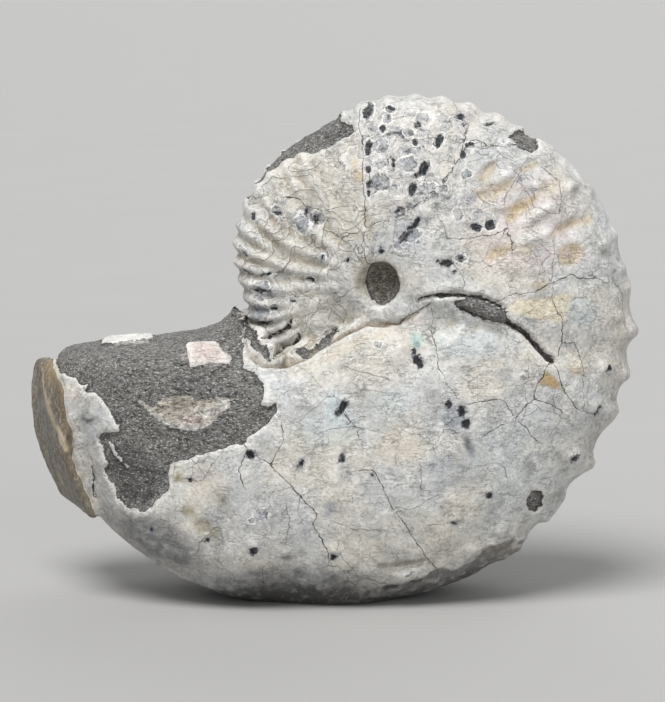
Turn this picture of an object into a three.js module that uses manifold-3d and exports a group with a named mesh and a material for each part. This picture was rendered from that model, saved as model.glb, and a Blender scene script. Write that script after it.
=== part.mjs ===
// A scaphitid ammonite fossil, one solid stone. A ribbed coil with a small sunk umbilicus is wrapped
// by the swollen body chamber, whose end is bare rock and a broken end plate on the left. It stands
// on the worn-flat underside of the body chamber, left flank to the viewer (-Y).
import * as THREE from "three";
import { mergeVertices } from "three/addons/utils/BufferGeometryUtils.js";
import Module from "manifold-3d";

const wasm = await Module();
wasm.setup();

// Driving dimensions, in millimetres. Plane points are (x, z) from the umbilicus, and spiral angles
// are in degrees, clockwise from the left as the viewer sees the flank.
const UMBILICUS_HEIGHT = 62; // above the resting face
const COIL_RADIUS = 27.2; // umbilicus to keel at spiral angle 0
const WHORL_GROWTH = 3.05; // radius ratio over a full turn of the spiral
const KEEL_WEAR = 1.4; // worn off the keel over the top of the coil
const KEEL_WEAR_START = [0, 95]; // spiral angles over which the wear sets in
const KEEL_WEAR_END = [110, 185]; // and dies out
const COIL_START = -52; // the visible coil comes out of the body chamber here
const COIL_END = 206; // and goes back under it here
const COIL_SINK = 0.15; // share of its half thickness that it loses as it goes under
const COIL_SINK_FADE = [186, 204]; // spiral angles over which it does, beside the umbilicus
const COIL_SINK_LAG = 14; // degrees later at the keel
const UMBILICUS_HALF_WIDTH = 14; // half thickness of the coil beside the umbilicus
const COIL_HALF_WIDTH = 0.37; // half thickness of the outer flank, as a share of the radius
const PIT_RADIUS = 3;
const PIT_DEPTH = 2.6;
const RIB_HEIGHT = 0.5;
const RIB_FADE = [130, 185]; // spiral angles over which they sink into the smooth body chamber
const RIB_SPACING = 7.5; // degrees between ribs at spiral angle 0
const RIB_SPREADING = 0.0009; // growth of that spacing, per degree
const RIBS_PER_PRIMARY = 2; // outer ribs to each rib that reaches the umbilicus
const CHIP_ANGLE = 66; // the keel is broken flat here
const CHIP_HALF_ANGLE = 15;
const CHIP_DEPTH = 0.9;
const CHAMBER_CENTRE = new THREE.Vector2(-4, -33);
const CHAMBER_HALF_WIDTH = 20.5;
const CHAMBER_START = 150; // the body chamber's keel follows the spiral from here
const CHAMBER_SPIRAL_END = 268; // to here, where it reaches the ground
const SHOULDER_KNOB_HEIGHT = 1.5;
const KNOB_ANGLES = [181, 191, 200.5, 210, 221.5, 232, 243];
const START_WIDTH = 0.6; // share of the chamber's half thickness where it leaves the coil
const START_FADE = [165, 212]; // spiral angles over which it swells to its full thickness
const UMBILICUS_THINNING = 0.22; // share that it loses beside the umbilicus
const UMBILICUS_THINNING_REACH = 20;
const NOOK = new THREE.Vector2(-26.5, -5); // where the bare rock meets the coil's edge
const NOOK_THINNING = 0.42;
const NOOK_REACH = 11;
const END_THINNING = 0.27; // share that it loses at the broken end
const END_TAPER = [20, 66]; // distances left of the umbilicus over which it does
const END_PLATE_HALF_WIDTH = 11.5;
const END_PLATE_YAW = 8; // degrees that the plate turns towards the viewer
const END_SLANT = 0.235; // the broken end leans this far along X for each millimetre of depth
const END_SLANT_REACH = [44, 60]; // distances left of the umbilicus over which the lean sets in

// The body chamber's edge from the ground round its broken end and over the rock to the coil, then
// under the coil and back to the spiral.
const CHAMBER_EDGE = [
  [-14, -64.5],
  [-27, -61.8],
  [-36, -58],
  [-45, -52.7],
  [-55.5, -44],
  [-60.8, -32],
  [-63.2, -21],
  [-62.4, -15.6],
  [-54.5, -13],
  [-42, -11],
  [-31, -8.8],
  [-26.5, -4.7],
  [-24, -10],
  [-20, -13.8],
  [-14, -11.8],
  [-7.5, -8.5],
  [-2, -5.8],
  [8, -2],
  [26, 4],
  [37, 12],
];
const END_PLATE_EDGE = [
  [-60.6, -15.8],
  [-63.6, -19],
  [-64.6, -24],
  [-64.2, -30],
  [-62.4, -37],
  [-59.6, -43.2],
  [-57, -46.6],
  [-54, -44.5],
  [-55, -33],
  [-57, -24],
  [-57.3, -16.4],
];

// How the edges round off. Turns are in degrees about the chamber's own centre.
const KEEL_FLATNESS = 2.7; // a higher value keeps the flank flat for longer
const KEEL_BLUNTNESS = 0.37; // a lower value makes the edge blunter
const BROKEN_FLATNESS = 11.5;
const WALL_FADE_IN = [40, 65]; // the wall that drops to the coil
const WALL_FADE_OUT = [85, 125];
const END_FADE_IN = [295, 350]; // the broken end
const END_FADE_OUT = [20, 60];
const POLE_CROWDING = 1.5; // above 1, mesh rings crowd towards a pillow's poles

const radians = THREE.MathUtils.degToRad;
const ease = THREE.MathUtils.smoothstep;
const mix = THREE.MathUtils.lerp;
const bell = (offset, halfWidth) => Math.exp(-((offset / halfWidth) ** 2));

// Distance from the umbilicus to the keel at a spiral angle.
function spiralRadius(angle) {
  const worn = KEEL_WEAR * ease(angle, ...KEEL_WEAR_START) * (1 - ease(angle, ...KEEL_WEAR_END));
  return COIL_RADIUS * WHORL_GROWTH ** (angle / 360) - worn;
}

// The plane point at a spiral angle and distance from a centre.
function polar(centre, angle, distance) {
  const turn = radians(angle);
  return [centre.x - Math.cos(turn) * distance, centre.y + Math.sin(turn) * distance];
}

// How many ribs lie between spiral angle 0 and this one.
const ribCount = (angle) => (1 - Math.exp(-RIB_SPREADING * angle)) / (RIB_SPACING * RIB_SPREADING);
const ribAngle = (count) => -Math.log(1 - count * RIB_SPACING * RIB_SPREADING) / RIB_SPREADING;

// A closed body like a pillow: a sphere with its poles facing -Y and +Y. place() puts each vertex
// from its turn (0 to 1), its reach (0 at a pole, 1 at the edge) and its side (-1 or 1).
function pillow(segments, rings, place) {
  const geometry = new THREE.SphereGeometry(1, segments, rings);
  const { position, uv } = geometry.attributes;
  for (let i = 0; i < position.count; i++) {
    const turn = THREE.MathUtils.euclideanModulo(uv.getX(i), 1);
    const fromPole = Math.PI * (1 - uv.getY(i));
    const reach = Math.min(Math.sin(fromPole) ** POLE_CROWDING, 1);
    position.setXYZ(i, ...place(turn, reach, Math.sign(Math.cos(fromPole))));
  }
  geometry.deleteAttribute("normal");
  geometry.deleteAttribute("uv");
  return mergeVertices(geometry, 1e-3);
}

// The share of a pillow's half thickness that is left at a reach. A higher flatness keeps the flank
// flat for longer, and a lower bluntness makes the edge blunter.
const rounding = (reach, flatness, bluntness) => Math.max(1 - reach ** flatness, 0) ** bluntness;

// Rib relief on the coil: primaries on the inner flank split in two towards the keel.
function ribRelief(angle, reach) {
  const count = ribCount(angle);
  const outer = Math.cos(2 * Math.PI * count);
  const inner = Math.cos((2 * Math.PI * count) / RIBS_PER_PRIMARY);
  const height = RIB_HEIGHT * (1 - ease(angle, ...RIB_FADE));
  return height * ease(reach, 0.2, 0.5) * mix(inner, outer, ease(reach, 0.5, 0.8));
}

// The coil: each rib has the same number of mesh lines, and the rest close the hidden side.
function coil() {
  const shownShare = 0.88;
  const segments = 108;
  const rings = 26;
  const centre = new THREE.Vector2();
  return pillow(segments, rings, (turn, reach, side) => {
    const shown = Math.min(turn / shownShare, 1);
    const hidden = Math.max((turn - shownShare) / (1 - shownShare), 0);
    const outAngle = ribAngle(mix(ribCount(COIL_START), ribCount(COIL_END), shown));
    const angle = mix(outAngle, COIL_START + 360, hidden);
    const keel = mix(spiralRadius(outAngle), spiralRadius(COIL_START), ease(hidden, 0, 1));
    const relief = hidden > 0 ? 0 : ribRelief(outAngle, reach);
    const chip = CHIP_DEPTH * bell(angle - CHIP_ANGLE, CHIP_HALF_ANGLE) * reach ** 4;
    const distance = reach * keel + relief * reach ** 3 - chip;
    const flank = mix(UMBILICUS_HALF_WIDTH, COIL_HALF_WIDTH * keel, ease(reach, 0, 0.5));
    const pit = PIT_DEPTH * (1 - ease(distance, PIT_RADIUS * 0.7, PIT_RADIUS * 1.6));
    const onFlank = relief * (1 - reach ** 6);
    const goneUnder = ease(angle - COIL_SINK_LAG * reach, ...COIL_SINK_FADE) * (1 - hidden);
    const sink = 1 - COIL_SINK * goneUnder * ease(reach, 0, 0.3);
    const rounded = rounding(reach, KEEL_FLATNESS, KEEL_BLUNTNESS);
    const halfWidth = (flank + onFlank - pit) * sink * rounded;
    const [x, z] = polar(centre, angle, distance);
    return [x, side * halfWidth, z];
  });
}

// A function that gives the distance from a centre to a closed edge, by angle in degrees.
function edgeDistance(centre, points) {
  const seen = points.map(([x, z]) => {
    const turn = Math.atan2(z - centre.y, centre.x - x);
    return [THREE.MathUtils.euclideanModulo(turn, 2 * Math.PI), Math.hypot(x - centre.x, z - centre.y)];
  });
  seen.sort((a, b) => a[0] - b[0]);
  const [first, last] = [seen[0], seen[seen.length - 1]];
  const ring = [[last[0] - 2 * Math.PI, last[1]], ...seen, [first[0] + 2 * Math.PI, first[1]]];
  return (angle) => {
    const turn = radians(angle);
    const next = ring.findIndex(([at]) => at > turn);
    const [before, after] = [ring[next - 1], ring[next]];
    return mix(before[1], after[1], (turn - before[0]) / (after[0] - before[0]));
  };
}

// Points along a smooth open curve through hand-placed plane points.
function smoothEdge(points, count) {
  const curve = new THREE.SplineCurve(points.map(([x, z]) => new THREE.Vector2(x, z)));
  return curve.getPoints(count).map(({ x, y }) => [x, y]);
}

// Keel points of the body chamber along the spiral.
function chamberSpiral() {
  const steps = 60;
  const centre = new THREE.Vector2();
  return Array.from({ length: steps }, (_, i) => {
    const angle = mix(CHAMBER_START, CHAMBER_SPIRAL_END, i / steps);
    return polar(centre, angle, spiralRadius(angle));
  });
}

// Knobs along the shoulder of the body chamber, where its ribs end.
function shoulderKnobs(angle, reach) {
  const knobHalfAngle = 3.2;
  const crest = KNOB_ANGLES.reduce((sum, at) => sum + bell(angle - at, knobHalfAngle), 0);
  return SHOULDER_KNOB_HEIGHT * crest * ease(reach, 0.72, 0.95);
}

// The body chamber: blunt at its broken end and along the wall that drops to the coil, round at the
// keel, thinner beside the umbilicus and towards the broken end.
function bodyChamber() {
  const segments = 84;
  const rings = 26;
  const distanceAt = edgeDistance(CHAMBER_CENTRE, [
    ...chamberSpiral(),
    ...smoothEdge(CHAMBER_EDGE, 120),
  ]);
  return pillow(segments, rings, (turn, reach, side) => {
    const angle = turn * 360;
    const wall = ease(angle, ...WALL_FADE_IN) * (1 - ease(angle, ...WALL_FADE_OUT));
    const end = Math.max(ease(angle, ...END_FADE_IN), 1 - ease(angle, ...END_FADE_OUT));
    const flatness = mix(KEEL_FLATNESS, BROKEN_FLATNESS, Math.max(wall, end));
    const [x, z] = polar(CHAMBER_CENTRE, angle, reach * distanceAt(angle));
    const fromUmbilicus = Math.hypot(x, z);
    const spiralAngle = THREE.MathUtils.euclideanModulo(
      THREE.MathUtils.radToDeg(Math.atan2(z, -x)), 360);
    const knobs = shoulderKnobs(spiralAngle, reach);
    const rise = mix(START_WIDTH, 1, ease(spiralAngle, ...START_FADE));
    const dip = 1 - UMBILICUS_THINNING * bell(fromUmbilicus, UMBILICUS_THINNING_REACH);
    const nook = 1 - NOOK_THINNING * bell(Math.hypot(x - NOOK.x, z - NOOK.y), NOOK_REACH);
    const taper = 1 - END_THINNING * ease(-x, ...END_TAPER);
    const thickness = CHAMBER_HALF_WIDTH * rise * dip * nook * taper;
    const halfWidth = thickness * rounding(reach, flatness, KEEL_BLUNTNESS);
    const outwards = 1 + knobs / fromUmbilicus;
    return [x * outwards, side * halfWidth, z * outwards];
  });
}

// The broken plate that closes the left end.
function endPlate() {
  const outline = new THREE.SplineCurve(END_PLATE_EDGE.map(([x, z]) => new THREE.Vector2(x, z)));
  const shape = new THREE.Shape(outline.getPoints(20));
  const bevel = 0.6;
  const geometry = new THREE.ExtrudeGeometry(shape, {
    depth: 2 * (END_PLATE_HALF_WIDTH - bevel),
    bevelThickness: bevel,
    bevelSize: bevel,
    bevelOffset: -bevel,
    bevelSegments: 1,
  });
  geometry.translate(0, 0, -(END_PLATE_HALF_WIDTH - bevel));
  geometry.rotateX(Math.PI / 2);
  const hinge = END_PLATE_EDGE[0][0];
  geometry.translate(-hinge, 0, 0).rotateZ(radians(END_PLATE_YAW)).translate(hinge, 0, 0);
  geometry.deleteAttribute("normal");
  geometry.deleteAttribute("uv");
  return mergeVertices(geometry, 1e-3);
}

// A closed geometry as a solid that can be joined and cut.
function solid(geometry) {
  return new wasm.Manifold(new wasm.Mesh({
    numProp: 3,
    vertProperties: new Float32Array(geometry.attributes.position.array),
    triVerts: new Uint32Array(geometry.index.array),
  }));
}

// A solid back as a geometry.
function surface(body) {
  const { vertProperties, triVerts } = body.getMesh();
  return new THREE.BufferGeometry()
    .setAttribute("position", new THREE.BufferAttribute(vertProperties, 3))
    .setIndex(new THREE.BufferAttribute(triVerts, 1));
}

// Lean the broken end, so that its face turns towards the viewer.
function slantEnd(geometry) {
  const { position } = geometry.attributes;
  for (let i = 0; i < position.count; i++) {
    const x = position.getX(i);
    position.setX(i, x - END_SLANT * position.getY(i) * ease(-x, ...END_SLANT_REACH));
  }
}

// Everything below the resting face.
function ground() {
  const size = 200;
  const box = new THREE.BoxGeometry(size, size, size);
  box.translate(0, 0, -UMBILICUS_HEIGHT - size / 2);
  box.deleteAttribute("normal");
  box.deleteAttribute("uv");
  return mergeVertices(box, 1e-3);
}

const fossil = surface(
  solid(coil()).add(solid(bodyChamber())).add(solid(endPlate())).subtract(solid(ground())),
);
slantEnd(fossil);

// The origin is the middle of the footprint's box, on the resting face.
fossil.computeBoundingBox();
const middle = fossil.boundingBox.getCenter(new THREE.Vector3());
fossil.translate(-middle.x, -middle.y, UMBILICUS_HEIGHT);
fossil.computeVertexNormals();

const stone = new THREE.MeshStandardMaterial({ color: 0xc9c6bf, roughness: 0.6, metalness: 0 });
const ammonite = new THREE.Mesh(fossil, stone);
ammonite.name = "ammonite_fossil";

const part = new THREE.Group();
part.add(ammonite);

export default part;
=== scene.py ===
"""A scaphitid ammonite fossil that stands on the worn underside of its body chamber.

The stone is one piece. Its form is fused from the coil, the body chamber and the broken end plate,
then the ribs, the lost shell, the cracks, the stains and the painted shade and highlights are worked into
that one surface.
Angles are in degrees. Lengths are in millimetres, or in pixels of the photograph for what is
placed on the flank through PhotoView.
"""

import logging
import math
from collections.abc import Callable
from dataclasses import dataclass, field
from enum import Enum

import bmesh
import bpy
import numpy as np
from mathutils import Matrix, Vector, noise


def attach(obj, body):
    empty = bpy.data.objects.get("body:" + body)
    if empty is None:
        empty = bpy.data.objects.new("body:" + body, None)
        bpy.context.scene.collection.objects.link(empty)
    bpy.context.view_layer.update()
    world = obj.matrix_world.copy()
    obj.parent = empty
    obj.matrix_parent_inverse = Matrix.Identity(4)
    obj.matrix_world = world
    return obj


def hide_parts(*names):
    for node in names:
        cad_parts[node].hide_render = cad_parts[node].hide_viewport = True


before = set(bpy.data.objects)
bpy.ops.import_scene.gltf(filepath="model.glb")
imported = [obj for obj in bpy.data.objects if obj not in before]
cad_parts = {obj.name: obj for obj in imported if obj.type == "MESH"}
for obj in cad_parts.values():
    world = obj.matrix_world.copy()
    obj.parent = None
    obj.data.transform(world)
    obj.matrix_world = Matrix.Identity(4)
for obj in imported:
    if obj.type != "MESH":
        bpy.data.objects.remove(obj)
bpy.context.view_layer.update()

log = logging.getLogger("ammonite")

Array = np.ndarray
Colour = tuple[float, float, float]
Point = tuple[float, float]
Fade = tuple[float, float]
Outline = tuple[Point, ...]

MM = 0.001
FAR_AWAY = 1e9
NEARLY_ZERO = 1e-6


def ease(value: Array | float, low: float, high: float) -> Array | float:
    """Rise smoothly from 0 at low to 1 at high.

    Args:
        value: Where to read the rise.
        low: Where it starts.
        high: Where it ends.

    Returns:
        The rise, from 0 to 1.
    """
    share = np.clip((value - low) / (high - low), 0.0, 1.0)
    return share * share * (3.0 - 2.0 * share)


def mix(first: Array | float, second: Array | float, share: Array | float) -> Array | float:
    """Blend from first to second by a share."""
    return first + (second - first) * share


def bell(offset: Array, half_width: float) -> Array:
    """Return a bump of height 1 that falls away over half_width."""
    return np.exp(-((offset / half_width) ** 2))


def srgb(red: int, green: int, blue: int) -> Colour:
    """Turn 8-bit display values into a linear colour.

    Args:
        red: Red, 0 to 255.
        green: Green, 0 to 255.
        blue: Blue, 0 to 255.

    Returns:
        The linear colour.
    """
    def linear(value: int) -> float:
        """Undo the display curve of one channel."""
        share = value / 255.0
        return share / 12.92 if share <= 0.04045 else ((share + 0.055) / 1.055) ** 2.4

    return linear(red), linear(green), linear(blue)


def from_segment(x: Array, y: Array, start: Point, end: Point) -> tuple[Array, Array, Array]:
    """Find how points lie beside a straight segment.

    Args:
        x: Horizontal places.
        y: Vertical places.
        start: Where the segment starts.
        end: Where it ends.

    Returns:
        The nearest place along the segment, from 0 to 1, and the offsets across and down from it.
    """
    along_x, along_y = end[0] - start[0], end[1] - start[1]
    from_x, from_y = x - start[0], y - start[1]
    share = (from_x * along_x + from_y * along_y) / (along_x**2 + along_y**2)
    share = np.clip(share, 0.0, 1.0)
    return share, from_x - share * along_x, from_y - share * along_y


def outline_depth(x: Array, y: Array, outline: Outline) -> Array:
    """Measure how deep points lie inside a closed outline.

    Args:
        x: Horizontal places.
        y: Vertical places.
        outline: Corners of the closed outline.

    Returns:
        Distance to the outline, positive inside it and negative outside.
    """
    nearest = np.full(x.shape, FAR_AWAY)
    inside = np.zeros(x.shape, bool)
    for start, end in zip(outline, outline[1:] + outline[:1]):
        _, away_x, away_y = from_segment(x, y, start, end)
        nearest = np.minimum(nearest, np.hypot(away_x, away_y))
        if start[1] != end[1]:
            crosses = (start[1] > y) != (end[1] > y)
            along = (y - start[1]) * (end[0] - start[0]) / (end[1] - start[1])
            inside ^= crosses & (x < start[0] + along)
    return np.where(inside, nearest, -nearest)


def line_offset(x: Array, y: Array, line: Outline) -> tuple[Array, Array]:
    """Measure how far points lie from an open line.

    Args:
        x: Horizontal places.
        y: Vertical places.
        line: Points along the line.

    Returns:
        The signed offset to its nearest stretch, and where along the line that is, in segments.
    """
    offset = np.full(x.shape, FAR_AWAY)
    place = np.zeros(x.shape)
    for index, (start, end) in enumerate(zip(line, line[1:])):
        share, away_x, away_y = from_segment(x, y, start, end)
        distance = np.hypot(away_x, away_y)
        turn = (end[0] - start[0]) * away_y - (end[1] - start[1]) * away_x
        closer = distance < np.abs(offset)
        offset = np.where(closer, np.where(turn < 0.0, -distance, distance), offset)
        place = np.where(closer, index + share, place)
    return offset, place


def smooth_line(points: Outline, count: int) -> Array:
    """Draw a smooth curve through points.

    Args:
        points: Points that the curve passes through.
        count: How many steps it has.

    Returns:
        Points along the curve, one row each.
    """
    known = np.array(points)
    last = len(known) - 1
    at = np.linspace(0.0, last, count + 1)
    index = np.minimum(at.astype(int), last - 1)
    share = (at - index)[:, None]
    before = known[np.maximum(index - 1, 0)]
    start, end = known[index], known[index + 1]
    after = known[np.minimum(index + 2, last)]
    leave, arrive = (end - before) / 2.0, (after - start) / 2.0
    return ((2 * start - 2 * end + leave + arrive) * share**3
            + (-3 * start + 3 * end - 2 * leave - arrive) * share**2 + leave * share + start)


@dataclass(frozen=True)
class Noise:
    """Fractal noise over the fossil, of about -1 to 1, with bumps of a size in millimetres."""

    size: float
    octaves: int
    seed: float
    fall: float = 0.9
    step: float = 2.1

    def at(self, places: Array) -> Array:
        """Return the noise at places, one row each."""
        shifted = places / self.size + self.seed
        return np.array([noise.fractal(Vector(at), self.fall, self.step, self.octaves) for at in shifted])


@dataclass(frozen=True)
class PhotoView:
    """The photographed view. It places the markings on the flank and the camera in the scene."""

    width: int = 665
    height: int = 702
    elevation: float = 8.0
    distance: float = 480.0
    pixels_per_mm: float = 5.2
    target: tuple[float, float, float] = (1.17, -6.0, 48.6)
    sensor_width: float = 36.0
    nearest_shown: float = 0.01
    farthest_shown: float = 500.0

    def axes(self) -> tuple[Array, Array, Array]:
        """Return the view's right, up and backward directions."""
        tilt = math.radians(self.elevation)
        right = np.array([1.0, 0.0, 0.0])
        up = np.array([0.0, math.sin(tilt), math.cos(tilt)])
        backward = np.array([0.0, -math.cos(tilt), math.sin(tilt)])
        return right, up, backward

    def project(self, points: Array) -> tuple[Array, Array]:
        """Find where points fall in the photograph.

        Args:
            points: Places in millimetres, one row each.

        Returns:
            Pixels across and pixels down.
        """
        right, up, backward = self.axes()
        offset = points - (np.array(self.target) + backward * self.distance)
        scale = self.pixels_per_mm * self.distance / -(offset @ backward)
        return self.width / 2 + offset @ right * scale, self.height / 2 - offset @ up * scale

    def camera(self) -> None:
        """Make the scene's camera."""
        right, up, backward = self.axes()
        data = bpy.data.cameras.new("camera")
        data.sensor_fit = "HORIZONTAL"
        data.sensor_width = self.sensor_width
        data.lens = self.sensor_width * self.pixels_per_mm * self.distance / self.width
        data.clip_start = self.nearest_shown
        data.clip_end = self.farthest_shown
        camera = bpy.data.objects.new("camera", data)
        turn = Matrix((right, up, backward)).transposed().to_4x4()
        place = (np.array(self.target) + backward * self.distance) * MM
        camera.matrix_world = Matrix.Translation(place) @ turn
        bpy.context.scene.collection.objects.link(camera)
        bpy.context.scene.camera = camera


@dataclass(frozen=True)
class Spiral:
    """The keel's spiral about the umbilicus. Angles run clockwise from the left."""

    start_radius: float = 27.2
    growth: float = 3.05
    wear: float = 1.4
    wear_start: Fade = (0.0, 95.0)
    wear_end: Fade = (110.0, 185.0)
    rib_spacing: float = 7.5
    rib_spreading: float = 0.0009

    def radius(self, angle: Array | float) -> Array | float:
        """Return the distance from the umbilicus to the worn keel."""
        worn = self.wear * ease(angle, *self.wear_start) * (1.0 - ease(angle, *self.wear_end))
        return self.start_radius * self.growth ** (angle / 360.0) - worn

    def rib_count(self, angle: Array) -> Array:
        """Count the ribs between angle 0 and this angle."""
        return (1.0 - np.exp(-self.rib_spreading * angle)) / (self.rib_spacing * self.rib_spreading)

    @staticmethod
    def angle(x: Array, z: Array) -> Array:
        """Return the angle of plane places about the umbilicus, from -90 to 270 degrees."""
        return (np.degrees(np.arctan2(z, -x)) + 90.0) % 360.0 - 90.0

    @staticmethod
    def place(centre: Point, angle: Array, distance: Array) -> tuple[Array, Array]:
        """Return the plane places at an angle and distance from a centre."""
        turn = np.radians(angle)
        return centre[0] - np.cos(turn) * distance, centre[1] + np.sin(turn) * distance


Placer = Callable[[Array, Array, Array], Array]


@dataclass(frozen=True)
class Pillow:
    """A closed body with its poles facing out of the two flanks."""

    segments: int
    rings: int
    pole_crowding: float = 1.5
    flatness: float = 2.7
    bluntness: float = 0.37

    def rounding(self, reach: Array, flatness: Array | float) -> Array:
        """Return the share of the half thickness that is left at a reach."""
        return np.maximum(1.0 - reach**flatness, 0.0) ** self.bluntness

    def shape(self, place: Placer) -> bmesh.types.BMesh:
        """Make the body from a sphere.

        Args:
            place: Gives each vertex its place from its angle, reach and side.

        Returns:
            The body in millimetres from the umbilicus.
        """
        body = bmesh.new()
        bmesh.ops.create_uvsphere(body, u_segments=self.segments, v_segments=self.rings, radius=1.0)
        quarter = Matrix.Rotation(math.pi / 2, 3, "X")
        bmesh.ops.rotate(body, verts=body.verts, cent=(0.0, 0.0, 0.0), matrix=quarter)
        ball = np.array([vert.co for vert in body.verts])
        angle = Spiral.angle(ball[:, 0], ball[:, 2])
        reach = np.minimum(np.hypot(ball[:, 0], ball[:, 2]), 1.0) ** self.pole_crowding
        for vert, at in zip(body.verts, place(angle, reach, np.sign(ball[:, 1]))):
            vert.co = at
        return body


@dataclass(frozen=True)
class Chip:
    """Where the coil's rim is chipped away, or stands out if its depth is negative."""

    angle: float
    half_angle: float
    depth: float


@dataclass
class Coil:
    """The inner whorls with the sunk umbilicus."""

    spiral: Spiral
    start: float = -52.0
    end: float = 206.0
    umbilicus_half_width: float = 14.0
    half_width_share: float = 0.37
    flank_rise: Fade = (0.0, 0.5)
    pit_slope: Fade = (2.1, 4.8)
    pit_depth: float = 2.6
    chips: tuple[Chip, ...] = (Chip(66.0, 15.0, 0.9), Chip(4.0, 26.0, 0.8), Chip(163.0, 15.0, -0.9))
    chip_steepness: int = 4
    sink: float = 0.15
    sink_fade: Fade = (186.0, 204.0)
    sink_lag: float = 14.0
    sink_rise: Fade = (0.0, 0.3)
    pillow: Pillow = Pillow(200, 76)

    def build(self) -> bmesh.types.BMesh:
        """Make the coil's smooth form."""
        return self.pillow.shape(self.place)

    def place(self, turn: Array, reach: Array, side: Array) -> Array:
        """Place the coil's vertices.

        Args:
            turn: Angle of each vertex.
            reach: 0 at the umbilicus and 1 at the keel.
            side: -1 on the front flank and 1 on the back.

        Returns:
            Places in millimetres from the umbilicus.
        """
        angle = (turn - self.start) % 360.0 + self.start
        hidden = np.maximum((angle - self.end) / (self.start + 360.0 - self.end), 0.0)
        shown_keel = self.spiral.radius(np.minimum(angle, self.end))
        keel = mix(shown_keel, self.spiral.radius(self.start), ease(hidden, 0.0, 1.0))
        chipped = sum(chip.depth * bell(angle - chip.angle, chip.half_angle) for chip in self.chips)
        distance = reach * keel - chipped * reach**self.chip_steepness
        flank = mix(self.umbilicus_half_width, self.half_width_share * keel, ease(reach, *self.flank_rise))
        pit = self.pit_depth * (1.0 - ease(distance, *self.pit_slope))
        gone_under = ease(angle - self.sink_lag * reach, *self.sink_fade) * (1.0 - hidden)
        sink = 1.0 - self.sink * gone_under * ease(reach, *self.sink_rise)
        half = (flank - pit) * sink * self.pillow.rounding(reach, self.pillow.flatness)
        x, z = Spiral.place((0.0, 0.0), angle, distance)
        return np.stack([x, side * half, z], axis=1)


@dataclass
class BodyChamber:
    """The swollen last part of the shell, which wraps the coil."""

    spiral: Spiral
    centre: Point = (-4.0, -33.0)
    half_width: float = 20.5
    spiral_start: float = 150.0
    spiral_end: float = 268.0
    spiral_steps: int = 60
    knob_height: float = 1.5
    knob_half_angle: float = 3.2
    knob_angles: tuple[float, ...] = (181.0, 191.0, 200.5, 210.0, 221.5, 232.0, 243.0)
    base_bulge: float = 1.5
    base_angle: float = 252.0
    base_half_angle: float = 13.0
    crest_rise: Fade = (0.72, 0.95)
    start_width: float = 0.6
    start_fade: Fade = (165.0, 212.0)
    umbilicus_thinning: float = 0.22
    umbilicus_reach: float = 20.0
    nook: Point = (-26.5, -5.0)
    nook_thinning: float = 0.42
    nook_reach: float = 11.0
    end_thinning: float = 0.27
    end_taper: Fade = (20.0, 66.0)
    broken_flatness: float = 11.5
    wall_fade_in: Fade = (40.0, 65.0)
    wall_fade_out: Fade = (85.0, 125.0)
    end_fade_in: Fade = (295.0, 350.0)
    end_fade_out: Fade = (20.0, 60.0)
    edge: Outline = (
        (-14.0, -64.5), (-27.0, -62.3), (-36.2, -58.5), (-45.4, -53.2), (-56.0, -44.5), (-60.8, -32.0),
        (-63.2, -21.0), (-62.4, -15.2), (-56.5, -12.4), (-42.0, -10.9), (-31.5, -8.4), (-27.0, -4.2),
        (-23.0, -9.0), (-19.6, -13.0), (-14.0, -11.8), (-7.5, -8.5), (-2.0, -5.8), (8.0, -2.0), (26.0, 4.0),
        (37.0, 12.0),
    )
    edge_steps: int = 120
    pillow: Pillow = Pillow(260, 84)

    def build(self) -> bmesh.types.BMesh:
        """Make the body chamber's smooth form."""
        return self.pillow.shape(self.place)

    def edge_distance(self, angle: Array) -> Array:
        """Return the distance from the chamber's centre to its edge.

        Args:
            angle: Angle about the chamber's centre.

        Returns:
            Distances in millimetres.
        """
        turns = np.linspace(self.spiral_start, self.spiral_end, self.spiral_steps, endpoint=False)
        keel = np.stack(Spiral.place((0.0, 0.0), turns, self.spiral.radius(turns)), axis=1)
        ring = np.concatenate([keel, smooth_line(self.edge, self.edge_steps)]) - np.array(self.centre)
        seen = Spiral.angle(ring[:, 0], ring[:, 1]) % 360.0
        return np.interp(angle % 360.0, *zip(*sorted(zip(seen, np.hypot(*ring.T)))), period=360.0)

    def place(self, turn: Array, reach: Array, side: Array) -> Array:
        """Place the chamber's vertices.

        Args:
            turn: Angle of each vertex about the chamber's centre.
            reach: 0 at the poles and 1 at the edge.
            side: -1 on the front flank and 1 on the back.

        Returns:
            Places in millimetres from the umbilicus.
        """
        turn = turn % 360.0
        wall = ease(turn, *self.wall_fade_in) * (1.0 - ease(turn, *self.wall_fade_out))
        end = np.maximum(ease(turn, *self.end_fade_in), 1.0 - ease(turn, *self.end_fade_out))
        flatness = mix(self.pillow.flatness, self.broken_flatness, np.maximum(wall, end))
        x, z = Spiral.place(self.centre, turn, reach * self.edge_distance(turn))
        away = np.maximum(np.hypot(x, z), NEARLY_ZERO)
        angle = Spiral.angle(x, z) % 360.0
        knobs = self.knob_height * sum(bell(angle - at, self.knob_half_angle) for at in self.knob_angles)
        bulge = self.base_bulge * bell(angle - self.base_angle, self.base_half_angle)
        outwards = 1.0 + (knobs + bulge) * ease(reach, *self.crest_rise) / away
        rise = mix(self.start_width, 1.0, ease(angle, *self.start_fade))
        dip = 1.0 - self.umbilicus_thinning * bell(away, self.umbilicus_reach)
        nook_away = np.hypot(x - self.nook[0], z - self.nook[1])
        nook = 1.0 - self.nook_thinning * bell(nook_away, self.nook_reach)
        taper = 1.0 - self.end_thinning * ease(-x, *self.end_taper)
        half = self.half_width * rise * dip * nook * taper * self.pillow.rounding(reach, flatness)
        return np.stack([x * outwards, side * half, z * outwards], axis=1)


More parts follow.
